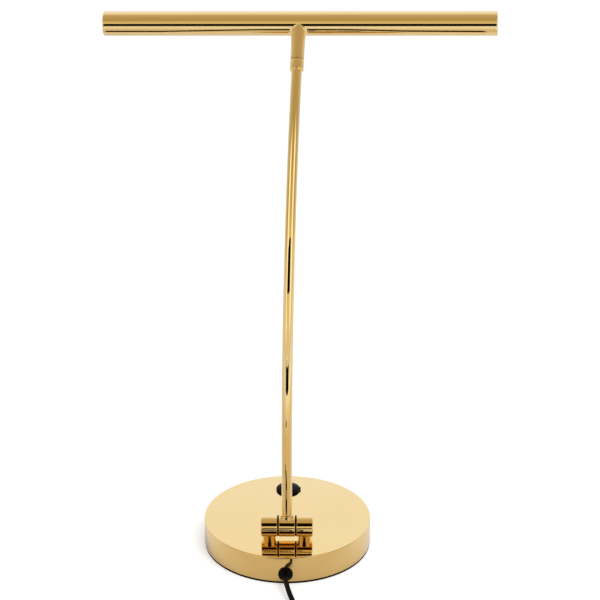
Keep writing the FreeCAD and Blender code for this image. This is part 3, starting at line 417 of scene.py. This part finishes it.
hingeSizes = {"bevel": 0.0007, "around": 128, "postRadius": 0.008, "postAround": 96, "capRadius": 0.0092,
              "capLong": 0.0019, "capEdge": 0.0003, "dish": 0.0004, "dishFloor": 0.86, "dishRim": 0.9}


def barrelShape(long):
    half = long / 2
    bevel = hingeSizes["bevel"]
    return spunShape([(0, half), (barrelRadius, half, bevel), (barrelRadius, -half, bevel), (0, -half)],
                     hingeSizes["around"], closed=False)


def capShape():
    # one end cap with a shallow dish in its outer face, which is at the top
    long = hingeSizes["capLong"]
    wide = hingeSizes["capRadius"]
    floor = long - hingeSizes["dish"]
    dish = [(0, floor), (wide * hingeSizes["dishFloor"], floor), (wide * hingeSizes["dishRim"], long)]
    return spunShape([*dish, (wide, long, hingeSizes["capEdge"]), (wide, 0), (0, 0)], hingeSizes["around"],
                     closed=False)


def saddled(shape, level, above):
    # moves the end ring at this height onto the barrels' round side
    for vertex in shape.verts:
        if abs(vertex.co.z - level) < 1e-6:
            drop = barrelRadius - math.sqrt(barrelRadius ** 2 - min(vertex.co.y ** 2, barrelRadius ** 2))
            vertex.co.z += -drop if above else drop
    return shape


def makeHinge():
    postRadius = hingeSizes["postRadius"]
    gap = hinge.z - barrelRadius - baseTop
    for side in ("left", "right"):
        node = "hinge_barrel_" + side
        shape = moved(barrelShape(sizeOf(node).x), alongX(middleOf(node)))
        finishPiece("hingeBarrel" + side.title(), shape, "base", "brass", brass, node)
        node = "hinge_post_" + side
        shape = spunShape([(0, gap), (postRadius, gap), (postRadius, 0), (0, 0)], hingeSizes["postAround"],
                          closed=False)
        place = Matrix.Translation((middleOf(node).x, hinge.y, baseTop))
        finishPiece("hingePost" + side.title(), moved(saddled(shape, gap, False), place), "base", "brass",
                    brass, node)
    capLow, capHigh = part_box("hinge_end_caps")
    caps = []
    for end, quarter in ((capHigh.x, 1), (capLow.x, -1)):
        place = Matrix.Translation((end - quarter * hingeSizes["capLong"], hinge.y, hinge.z))
        caps.append(moved(capShape(), place @ Matrix.Rotation(quarter * math.pi / 2, 4, "Y")))
    finishPiece("hingeEndCaps", joined(*caps), "base", "brass", brass, "hinge_end_caps")
    knuckle = barrelShape(sizeOf("hinge_knuckle").x)
    finishPiece("hingeKnuckle", moved(knuckle, alongX(hinge)), "arm", "brass", brass, "hinge_knuckle")


# rod

rodSizes = {"foot": 0.0075, "around": 64, "bendSteps": 128, "grip": 0.0074, "ferruleLap": 0.0002,
            "ferruleTaper": 0.0009}


def makeRod():
    # a straight foot and one long arc, turned a little round its foot, its tip gripped in the collar
    collarFoot = swivel - rodEnd * collarSizes["long"]
    reach = (collarFoot - hinge).xy.length
    bend = reach / (1 - math.cos(lean))
    straight = collarFoot.z - hinge.z - bend * math.sin(lean)
    foot = rodSizes["foot"]
    shape = newShape()
    bmesh.ops.create_circle(shape, cap_ends=False, radius=rodRadius, segments=rodSizes["around"],
                            matrix=Matrix.Translation((0, 0, foot)))
    ring, edges = pulledOut(shape, shape.edges[:])
    bmesh.ops.translate(shape, vec=(0, 0, straight - foot), verts=ring)
    spun = bmesh.ops.spin(shape, geom=ring + edges, cent=(0, bend, straight), axis=(-1, 0, 0),
                          dvec=(0, 0, 0), angle=lean, steps=rodSizes["bendSteps"])["geom_last"]
    ring, edges = pulledOut(shape, [item for item in spun if isinstance(item, bmesh.types.BMEdge)])
    tip = Vector((0, math.sin(lean), math.cos(lean))) * rodSizes["grip"]
    bmesh.ops.translate(shape, vec=tip, verts=ring)
    bmesh.ops.holes_fill(shape, edges=shape.edges)
    place = Matrix.Translation(hinge) @ Matrix.Rotation(-turn, 4, "Z")
    finishPiece("armRod", moved(closeShape(shape), place), "arm", "brass", brass, "arm_rod")


def makeFerrule():
    radius = sizeOf("rod_ferrule").x / 2
    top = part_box("rod_ferrule")[1].z - hinge.z
    inside = rodRadius - rodSizes["ferruleLap"]
    foot = barrelRadius
    shape = spunShape([(inside, top), (radius, top, rodSizes["ferruleTaper"]), (radius, foot),
                       (inside, foot)])
    saddled(shape, foot, True)
    finishPiece("rodFerrule", moved(shape, Matrix.Translation(hinge)), "arm", "brass", brass, "rod_ferrule")


collarSizes = {"long": 0.0129, "radius": 0.00815, "bevel": 0.0005, "mouth": 0.002, "hole": 0.0009,
               "holeUp": 0.0015, "holeDeep": 0.0012}


def makeCollar():
    # the rod's end fits in the mouth at its foot; a small hole leads to the grub screw
    foot = -collarSizes["long"]
    radius = collarSizes["radius"]
    bevel = collarSizes["bevel"]
    mouth = foot + collarSizes["mouth"]
    shape = spunShape([(0, 0), (radius, 0, bevel), (radius, foot, bevel), (rodRadius, foot),
                       (rodRadius, mouth), (0, mouth)], closed=False)
    collar = finishPiece("swivelCollar", moved(shape, swivelPlace), "arm", "brass", brass, "swivel_collar")
    drill = newShape()
    hole = collarSizes["hole"]
    place = Matrix.Translation((0, -radius, foot + collarSizes["holeUp"]))
    place @= Matrix.Rotation(math.pi / 2, 4, "X")
    bmesh.ops.create_cone(drill, cap_ends=True, segments=32, radius1=hole, radius2=hole,
                          depth=collarSizes["holeDeep"] * 2, matrix=place)
    bore(collar, moved(drill, swivelPlace))


def bore(piece, drill):
    # cuts a shape out of a finished piece
    mesh = bpy.data.meshes.new("drill")
    drill.to_mesh(mesh)
    drill.free()
    tool = bpy.data.objects.new("drill", mesh)
    bpy.context.scene.collection.objects.link(tool)
    cutting = piece.modifiers.new("bore", "BOOLEAN")
    cutting.operation = "DIFFERENCE"
    cutting.solver = "EXACT"
    cutting.object = tool
    bpy.context.view_layer.update()
    result = bpy.data.meshes.new_from_object(piece.evaluated_get(bpy.context.evaluated_depsgraph_get()))
    piece.modifiers.clear()
    piece.data = result
    bpy.data.objects.remove(tool)
    result.set_sharp_from_angle(angle=sharpFrom)


# neck and shade

neckSizes = {"radius": 0.0081, "topRadius": 0.0085, "groove": 0.0007, "bevel": 0.0004, "straight": 0.0101,
             "blend": 0.0035, "blendSteps": 8, "sink": 0.0004, "flare": 1.01, "around": 128}
shadeSizes = {"radius": 0.01455, "wall": 0.001, "long": 0.465, "capLong": 0.004, "capRound": 0.0009,
              "slot": 0.014, "slotMargin": 0.012, "around": 192, "seam": 0.00012}


def neckPoint(angle, share):
    # a point of the round blend from the neck, at share 0, to the shade's underside, at share 1
    radius = neckSizes["topRadius"]
    blend = neckSizes["blend"]
    aside = radius * math.sin(angle) - shadeShift
    depth = math.sqrt(shadeSizes["radius"] ** 2 - aside ** 2)
    corner = math.pi / 2 - math.atan2(aside * math.sin(angle), depth)
    start = shadeHeight - depth - blend * math.tan(corner / 2)
    step = corner * share
    across = radius + blend * (1 - math.cos(step))
    return across * math.cos(angle), across * math.sin(angle), start + blend * math.sin(step)


def makeNeck():
    # a round foot over the collar's groove, a straight length and the blend into the shade
    low = neckSizes["groove"]
    radius = neckSizes["radius"]
    shape = spunShape([(0, low), (radius, low, neckSizes["bevel"]), (radius, low + neckSizes["straight"])],
                      neckSizes["around"], closed=False)
    edges = [edge for edge in shape.edges if edge.is_boundary]
    for number in range(neckSizes["blendSteps"] + 1):
        ring, edges = pulledOut(shape, edges)
        for vertex in ring:
            angle = math.atan2(vertex.co.y, vertex.co.x)
            vertex.co = neckPoint(angle, number / neckSizes["blendSteps"])
    ring, edges = pulledOut(shape, edges)
    for vertex in ring:  # the saddle's edge goes on into the shade's wall
        vertex.co.z += neckSizes["sink"]
        vertex.co.xy *= neckSizes["flare"]
    finishPiece("neck", moved(closeShape(shape), headPlace), "head", "brass", brass, "neck")


def shadePlace(x=0.0):
    return headPlace @ Matrix.Translation((x, shadeShift, shadeHeight))


def makeShade():
    # a tube with a long slot along its lower side, closed by a cap at each end
    radius = shadeSizes["radius"]
    half = shadeSizes["long"] / 2 - shadeSizes["capLong"]
    slotHalf = half - shadeSizes["slotMargin"]
    slot = shadeSizes["slot"] / 2
    shape = newShape()
    bmesh.ops.create_circle(shape, cap_ends=False, radius=radius, segments=shadeSizes["around"],
                            matrix=alongX((-half, 0, 0)))
    edges = shape.edges[:]
    for end in (-slotHalf, slotHalf, half):
        ring, edges = pulledOut(shape, edges)
        for vertex in ring:
            vertex.co.x = end
    for level in (-slot, slot):
        cutAt(shape, (0, 0, level), (0, 0, 1))
    gone = []
    for face in shape.faces:
        centre = face.calc_center_median()
        if abs(centre.x) < slotHalf and abs(centre.z) < slot and centre.y > 0:
            gone.append(face)
    bmesh.ops.delete(shape, geom=gone, context="FACES")
    closeShape(shape)
    bmesh.ops.solidify(shape, geom=shape.faces[:], thickness=shadeSizes["wall"])
    finishPiece("shadeTube", moved(shape, shadePlace()), "head", "brass", brass, "shade_tube")
    cap = shadeSizes["capLong"]
    seam = shadeSizes["seam"]
    for side, quarter in (("left", -1), ("right", 1)):
        shape = spunShape([(0, cap), (radius, cap, shadeSizes["capRound"]), (radius, seam),
                           (radius - seam, 0), (0, 0)], shadeSizes["around"], closed=False)
        place = shadePlace(quarter * half) @ Matrix.Rotation(quarter * math.pi / 2, 4, "Y")
        finishPiece("endCap" + side.title(), moved(shape, place), "head", "brass", brass, "end_cap_" + side)


lensSizes = {"outer": 0.0135, "thick": 0.0012, "lap": 0.0024, "proud": 0.01425, "gap": 0.0003,
             "around": 32}


def makeLensStrip():
    # a curved strip behind the slot, with a rib that fills the slot
    slot = shadeSizes["slot"] / 2
    gap = lensSizes["gap"]
    long = shadeSizes["long"] - 2 * (shadeSizes["capLong"] + shadeSizes["slotMargin"] + gap)
    outer = lensSizes["outer"]
    reach = math.asin((slot + lensSizes["lap"]) / outer)
    rib = math.asin((slot - gap) / lensSizes["proud"])
    shape = newShape()
    start = Matrix.Rotation(-reach, 4, "X")
    ends = [shape.verts.new(start @ Vector((-long / 2, across, 0)))
            for across in (outer - lensSizes["thick"], outer)]
    edge = shape.edges.new(ends)
    bmesh.ops.spin(shape, geom=ends + [edge], cent=(0, 0, 0), axis=(1, 0, 0), dvec=(0, 0, 0),
                   angle=reach * 2, steps=lensSizes["around"])
    for angle in (-rib, rib):
        cutAt(shape, (0, 0, 0), (0, -math.sin(angle), math.cos(angle)))
    rim = []
    for edge in shape.edges:
        spots = [vertex.co for vertex in edge.verts]
        angle = math.atan2(sum(spot.z for spot in spots), sum(spot.y for spot in spots))
        if all(abs(spot.yz.length - outer) < 2e-5 for spot in spots) and abs(angle) < rib:
            rim.append(edge)
    ring, edges = pulledOut(shape, rim)
    for vertex in ring:
        vertex.co.yz = vertex.co.yz.normalized() * lensSizes["proud"]
    grown = bmesh.ops.extrude_face_region(shape, geom=shape.faces[:])["geom"]
    bmesh.ops.translate(shape, vec=(long, 0, 0),
                        verts=[item for item in grown if isinstance(item, bmesh.types.BMVert)])
    finishPiece("lensStrip", moved(closeShape(shape), shadePlace()), "head", "lens", milkyLens, "diffuser")


# dimmer

knobSizes = {"radius": 0.0146, "skirt": 0.0019, "dome": 0.0032, "domeSteps": 12, "round": 0.0013,
             "footRound": 0.0003, "around": 144, "pointerLong": 0.001, "pointerWide": 0.0022,
             "pointerHigh": 0.0026, "pointerSoft": 0.0003}


def makeKnob():
    # a low skirt under a shallow dome, and a small pointer at its edge
    radius = knobSizes["radius"]
    skirt = knobSizes["skirt"]
    dome = knobSizes["dome"]
    ball = (radius ** 2 + dome ** 2) / (dome * 2)
    arc = []
    for number in range(knobSizes["domeSteps"]):
        across = radius * number / knobSizes["domeSteps"]
        arc.append((across, skirt + dome - ball + math.sqrt(ball ** 2 - across ** 2)))
    arc += [(radius, skirt, knobSizes["round"]), (radius, 0, knobSizes["footRound"]), (0, 0)]
    shape = spunShape(arc, knobSizes["around"], closed=False)
    pointer = newShape()
    high = knobSizes["pointerHigh"]
    size = Matrix.Diagonal((knobSizes["pointerLong"] * 2, knobSizes["pointerWide"], high, 1))
    bmesh.ops.create_cube(pointer, size=1, matrix=Matrix.Translation((radius, 0, high / 2)) @ size)
    bmesh.ops.bevel(pointer, geom=pointer.edges[:], affect="EDGES", offset=knobSizes["pointerSoft"],
                    segments=3, profile=0.5, material=-1)
    axis = joints["dimmer_turn"]["pos_m"]
    place = Matrix.Translation((axis[0], axis[1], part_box("dimmer_knob")[0].z))
    finishPiece("dimmerKnob", moved(joined(shape, pointer), place), "dimmer", "black_plastic", blackPlastic,
                "dimmer_knob")


# cord

cordSizes = {"thick": 0.006, "long": 1.8, "floor": 0.00305, "coilX": -0.0338, "coilY": -0.226,
             "inner": 0.0254, "turns": 7.278, "perTurn": 24, "climb": 0.6}
inletSizes = {"across": -0.0012, "rise": 0.0135, "wide": 0.0087, "edge": 0.0022, "round": 0.0009,
              "shoulder": 0.72, "shoulderUp": 0.0008, "face": 0.0044, "proud": 0.005, "faceRound": 0.0004,
              "sunk": 0.0012}


def coilPoints():
    # two layers of turns: the lower one winds inwards, the upper one back out, clockwise from above
    turns = cordSizes["turns"]
    count = cordSizes["perTurn"]
    thick = cordSizes["thick"]
    swell = 4 / (3 + math.cos(math.tau / count))  # the curve runs inside its points by this much
    points = []
    for number in range(1, int(turns * count) + 1):
        done = number / count
        radius = (cordSizes["inner"] + thick * abs(done - turns / 2)) * swell
        climb = min(1, max(0, (done - turns / 2) / cordSizes["climb"] + 0.5))
        climb = climb * climb * (3 - 2 * climb)
        angle = -done * math.tau
        points.append((cordSizes["coilX"] + radius * math.cos(angle),
                       cordSizes["coilY"] + radius * math.sin(angle), cordSizes["floor"] + thick * climb))
    return points


def makeCord():
    # out of the inlet, down to the table, round the coil and on to the plug
    rise = inletSizes["rise"]
    floor = cordSizes["floor"]
    inlet = (inletSizes["across"], round(-baseRadius - inletSizes["proud"], 6), rise)
    route = [inlet, (-0.0012, -0.113, rise), (0.0005, -0.123, rise - 0.0015),
             (0.0037, -0.1355, rise - 0.0053), (0.0093, -0.15, floor + 0.0005), (0.0126, -0.167, floor),
             (0.0136, -0.185, floor + 0.0004), (0.0134, -0.209, floor + 0.0001)]
    tail = [(-0.055, -0.2743, 0.00815), (-0.067, -0.2742, 0.00755), (-0.077, -0.2742, 0.00755)]
    points = route + coilPoints() + tail
    line = bpy.data.curves.new("powerCord", "CURVE")
    line.dimensions = "3D"
    line.bevel_depth = cordSizes["thick"] / 2
    line.bevel_resolution = 6
    line.resolution_u = 6
    line.use_fill_caps = True
    spline = line.splines.new("NURBS")
    spline.points.add(len(points) - 1)
    for point, spot in zip(spline.points, points):
        point.co = (*spot, 1)
    spline.order_u = 3
    spline.use_endpoint_u = True
    line.materials.append(cordJacket)
    cord = bpy.data.objects.new("powerCord", line)
    bpy.context.scene.collection.objects.link(cord)
    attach(cord, "base")
    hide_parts("power_cord", "cord_coil", "cord_tail")


def makeInlet():
    wide = inletSizes["wide"]
    edge = inletSizes["edge"]
    proud = inletSizes["proud"]
    sunk = -inletSizes["sunk"]
    shape = spunShape([(0, proud), (inletSizes["face"], proud, inletSizes["faceRound"]),
                       (wide * inletSizes["shoulder"], edge + inletSizes["shoulderUp"]),
                       (wide, edge, inletSizes["round"]), (wide, sunk), (0, sunk)], closed=False)
    place = Matrix.Translation((inletSizes["across"], -baseRadius, inletSizes["rise"]))
    finishPiece("cordInlet", moved(shape, place @ Matrix.Rotation(math.pi / 2, 4, "X")), "base",
                "black_plastic", blackPlastic, "cord_inlet")


# light, floor and what the polished brass mirrors

# the room's tone over the lamp's middle, from the far horizon (0) over the top to the near one (1)
roomLight = ((0.0, (1, 1, 1)), (0.30, (1, 1, 1)), (0.38, (0.78, 0.7, 0.58)), (0.46, (0.6, 0.49, 0.33)),
             (0.62, (0.52, 0.41, 0.25)), (0.72, (0.5, 0.38, 0.18)), (0.8, (0.62, 0.53, 0.28)),
             (0.87, (0.82, 0.7, 0.45)), (1.0, (0.84, 0.74, 0.6)))
# how far aside (0 to 1) and how far over the two side softboxes reach, and the dimmer room beside them
sideBoxes = {"tone": (1.3, 1.3, 1.25), "aside": (0.42, 0.8), "asideSoft": 0.04, "over": (0.68, 0.98),
             "overSoft": 0.02}
roomSides = {"tone": (0.62, 0.56, 0.45), "aside": (0.8, 0.9), "over": (0.5, 0.55), "ambient": 0.72}


def window(room, value, ends, soft):
    # 1 between two heights of value and 0 outside, with soft edges
    low, high = ends
    over = spread(room, value, 0, 1, low - soft, low + soft)
    under = spread(room, value, 0, 1, high + soft, high - soft)
    return calc(room, "MULTIPLY", over, under)


def makeRoom():
    # white to the camera, a plain ambient to the lamp, and to polished metal a studio with side softboxes
    room = bpy.data.worlds.new("studio")
    bpy.context.scene.world = room
    room.use_nodes = True
    ambient = room.node_tree.nodes["Background"]
    ambient.inputs["Color"].default_value = (1, 1, 1, 1)
    ambient.inputs["Strength"].default_value = roomSides["ambient"]
    spot = addNode(room, "SeparateXYZ", {"Vector": addNode(room, "TexCoord").outputs["Generated"]})
    over = calc(room, "DIVIDE", calc(room, "ARCTAN2", spot.outputs["Z"], spot.outputs["Y"]), math.pi)
    aside = calc(room, "ABSOLUTE", spot.outputs["X"])
    beside = calc(room, "MULTIPLY", spread(room, aside, 0, 1, *roomSides["aside"]),
                  spread(room, over, 1, 0, *roomSides["over"]))
    boxes = calc(room, "MULTIPLY", window(room, aside, sideBoxes["aside"], sideBoxes["asideSoft"]),
                 window(room, over, sideBoxes["over"], sideBoxes["overSoft"]))
    mirror = blend(room, beside, tint(room, over, *roomLight), (*roomSides["tone"], 1))
    mirror = blend(room, boxes, mirror, (*sideBoxes["tone"], 1))
    mirrored = addNode(room, "Background", {"Color": mirror})
    seen = addNode(room, "Background", {"Color": (1, 1, 1, 1)})
    path = addNode(room, "LightPath")
    join = room.node_tree.links.new
    choice = ambient.outputs["Background"]
    for ray, look in (("Is Glossy Ray", mirrored), ("Is Camera Ray", seen)):
        chosen = addNode(room, "MixShader", {"Fac": path.outputs[ray]})
        join(choice, chosen.inputs[1])
        join(look.outputs["Background"], chosen.inputs[2])
        choice = chosen.outputs["Shader"]
    join(choice, room.node_tree.nodes["World Output"].inputs["Surface"])


# glow is seen by the camera alone; to mirrored rays alone the floor shows a painted reflection, a darker
# warm tone near the lamp that is painted lighter again beside the base
floorLook = {"color": (0.86, 0.86, 0.86), "glow": 0.34, "warm": (0.7, 0.6, 0.46), "paintedReflectionReach": (0.5, 1.3),
             "beside": 0.5, "paintedLightBesideFrom": (-0.12, -0.02), "half": 20}


def makeFloor():
    floor = newMaterial("paleFloor", floorLook["color"], 0.0, 0.9, {
        "Specular IOR Level": 0, "Emission Color": (1, 1, 1, 1)})
    path = addNode(floor, "LightPath")
    spot = addNode(floor, "TexCoord").outputs["Object"]
    away = addNode(floor, "VectorMath", {0: spot}, operation="LENGTH").outputs["Value"]
    along = addNode(floor, "SeparateXYZ", {"Vector": spot}).outputs["Y"]
    # painted reflection: to mirrored rays the floor is darker and warm near the lamp and light far off, and
    # beside the base it is painted lighter again
    far = spread(floor, away, 0, 1, *floorLook["paintedReflectionReach"])
    beside = spread(floor, along, 0, floorLook["beside"], *floorLook["paintedLightBesideFrom"])
    mirrored = tint(floor, calc(floor, "MAXIMUM", far, beside), (0.0, floorLook["warm"]), (1.0, (1, 1, 1)))
    color = blend(floor, path.outputs["Is Glossy Ray"], (*floorLook["color"], 1), mirrored)
    glow = calc(floor, "MULTIPLY", path.outputs["Is Camera Ray"], floorLook["glow"])
    plug(floor, "Base Color", color)
    plug(floor, "Emission Strength", glow)
    shape = newShape()
    bmesh.ops.create_grid(shape, x_segments=1, y_segments=1, size=floorLook["half"])
    addPiece("floor", shape, floor)


# painted reflections: glowing dark cards, seen only in mirrored rays, give the polished metal its lines;
# cardWings glows a brown tone. Half the width and depth of each, its place, its turn round X, and the
# length of the mirrored rays that meet it; a card is seen from the side its Z points to
paintedReflectionTone = (0.004, 0.003, 0.003)
cards = {
    "cardAbove": {"half": (0.55, 0.255), "place": (-0.2, -1.13, 0.705), "turned": -90, "rays": (1.28, 3)},
    "cardBehind": {"half": (0.34, 0.168), "place": (-0.03, -0.748, 0.677), "turned": -68.7,
                   "rays": (0.5, 3)},
    "cardLevel": {"half": (0.15, 0.033), "place": (0, -0.33, 0.2135), "turned": -90, "rays": (0.1, 0.45)},
    "cardRoof": {"half": (0.15, 0.1775), "place": (0, -0.3725, 0.25), "turned": 180, "rays": (0.1, 3)},
    "cardWings": {"half": (0.6, 0.265), "place": (0, -0.385, 0.255), "turned": 180, "rays": (0.1, 3),
                  "tone": (0.62, 0.42, 0.18)},
    "cardSlope": {"half": (0.08, 0.11), "place": (0, -0.4085, 0.0414), "turned": -163.3, "rays": (0.1, 3)}}
# a painted reflection: a dark bow just above the floor round the lamp, seen only in mirrored rays: pairs of
# its far and its near edge
bow = (
    ((-0.366, -0.25), (-0.343, -0.03)), ((-0.285, -0.25), (-0.251, -0.04)),
    ((-0.258, -0.39), (-0.217, -0.15)), ((-0.24, -0.57), (-0.189, -0.28)),
    ((-0.222, -0.72), (-0.164, -0.38)), ((-0.155, -0.75), (-0.104, -0.4)),
    ((-0.088, -0.73), (-0.037, -0.395)), ((-0.023, -0.56), (0.018, -0.28)),
    ((0.052, -0.38), (0.086, -0.13)), ((0.128, -0.33), (0.158, -0.09)), ((0.182, -0.3), (0.212, -0.05)))
bowLay = {"height": 0.003, "rays": (0.62, 1.3)}


def cardMaterial(name, tone, rays):
    # a painted reflection: one tone for mirrored rays of this length that come from the front, and clear to
    # every other ray
    least, most = rays
    card = bpy.data.materials.new(name)
    card.use_nodes = True
    length = addNode(card, "LightPath").outputs["Ray Length"]
    front = calc(card, "SUBTRACT", 1, addNode(card, "NewGeometry").outputs["Backfacing"])
    shown = calc(card, "MULTIPLY", calc(card, "GREATER_THAN", length, least),
                 calc(card, "LESS_THAN", length, most))
    mix = addNode(card, "MixShader", {"Fac": calc(card, "MULTIPLY", shown, front)})
    clear = addNode(card, "BsdfTransparent")
    glow = addNode(card, "Emission", {"Color": (*tone, 1)})
    join = card.node_tree.links.new
    join(clear.outputs["BSDF"], mix.inputs[1])
    join(glow.outputs["Emission"], mix.inputs[2])
    join(mix.outputs["Shader"], card.node_tree.nodes["Material Output"].inputs["Surface"])
    return card


def mirroredOnly(name, shape, tone, rays):
    card = addPiece(name, shape, cardMaterial(name, tone, rays))
    card.visible_camera = False
    card.visible_diffuse = False
    card.visible_shadow = False
    card.visible_transmission = False


def makeCards():
    for name, card in cards.items():
        shape = newShape()
        bmesh.ops.create_grid(shape, x_segments=1, y_segments=1, size=1)
        bmesh.ops.scale(shape, vec=(*card["half"], 1), verts=shape.verts)
        place = Matrix.Translation(card["place"]) @ Matrix.Rotation(math.radians(card["turned"]), 4, "X")
        mirroredOnly(name, moved(shape, place), card.get("tone", paintedReflectionTone), card["rays"])
    shape = newShape()
    pairs = [[shape.verts.new((*spot, bowLay["height"])) for spot in pair] for pair in bow]
    for first, second in zip(pairs, pairs[1:]):
        shape.faces.new((first[0], second[0], second[1], first[1]))
    mirroredOnly("cardBow", shape, paintedReflectionTone, bowLay["rays"])


softboxLook = {"place": (0.9, -0.9, 2.2), "wide": 1.4, "power": 22}


def makeSoftbox():
    # the one lamp, aimed at the origin; polished metal doesn't mirror it
    light = bpy.data.lights.new("softbox", "AREA")
    light.shape = "DISK"
    light.size = softboxLook["wide"]
    light.energy = softboxLook["power"]
    box = bpy.data.objects.new("softbox", light)
    bpy.context.scene.collection.objects.link(box)
    box.location = softboxLook["place"]
    box.rotation_euler = Vector(softboxLook["place"]).to_track_quat("Z", "Y").to_euler()
    box.visible_glossy = False


def makeStudio():
    bpy.context.scene.view_settings.view_transform = "Standard"
    makeRoom()
    makeFloor()
    makeCards()
    makeSoftbox()


makeCamera()
makeCord()
print("camera and cord made")
makeBase()
makeInlet()
makeHinge()
makeRod()
makeFerrule()
makeCollar()
makeNeck()
makeShade()
makeLensStrip()
makeKnob()
print("pieces made")
for node, finish in frameFinish.items():
    frame["nodes"][node].data.materials[0] = finish
makeStudio()
print("studio made")
print("dressed")
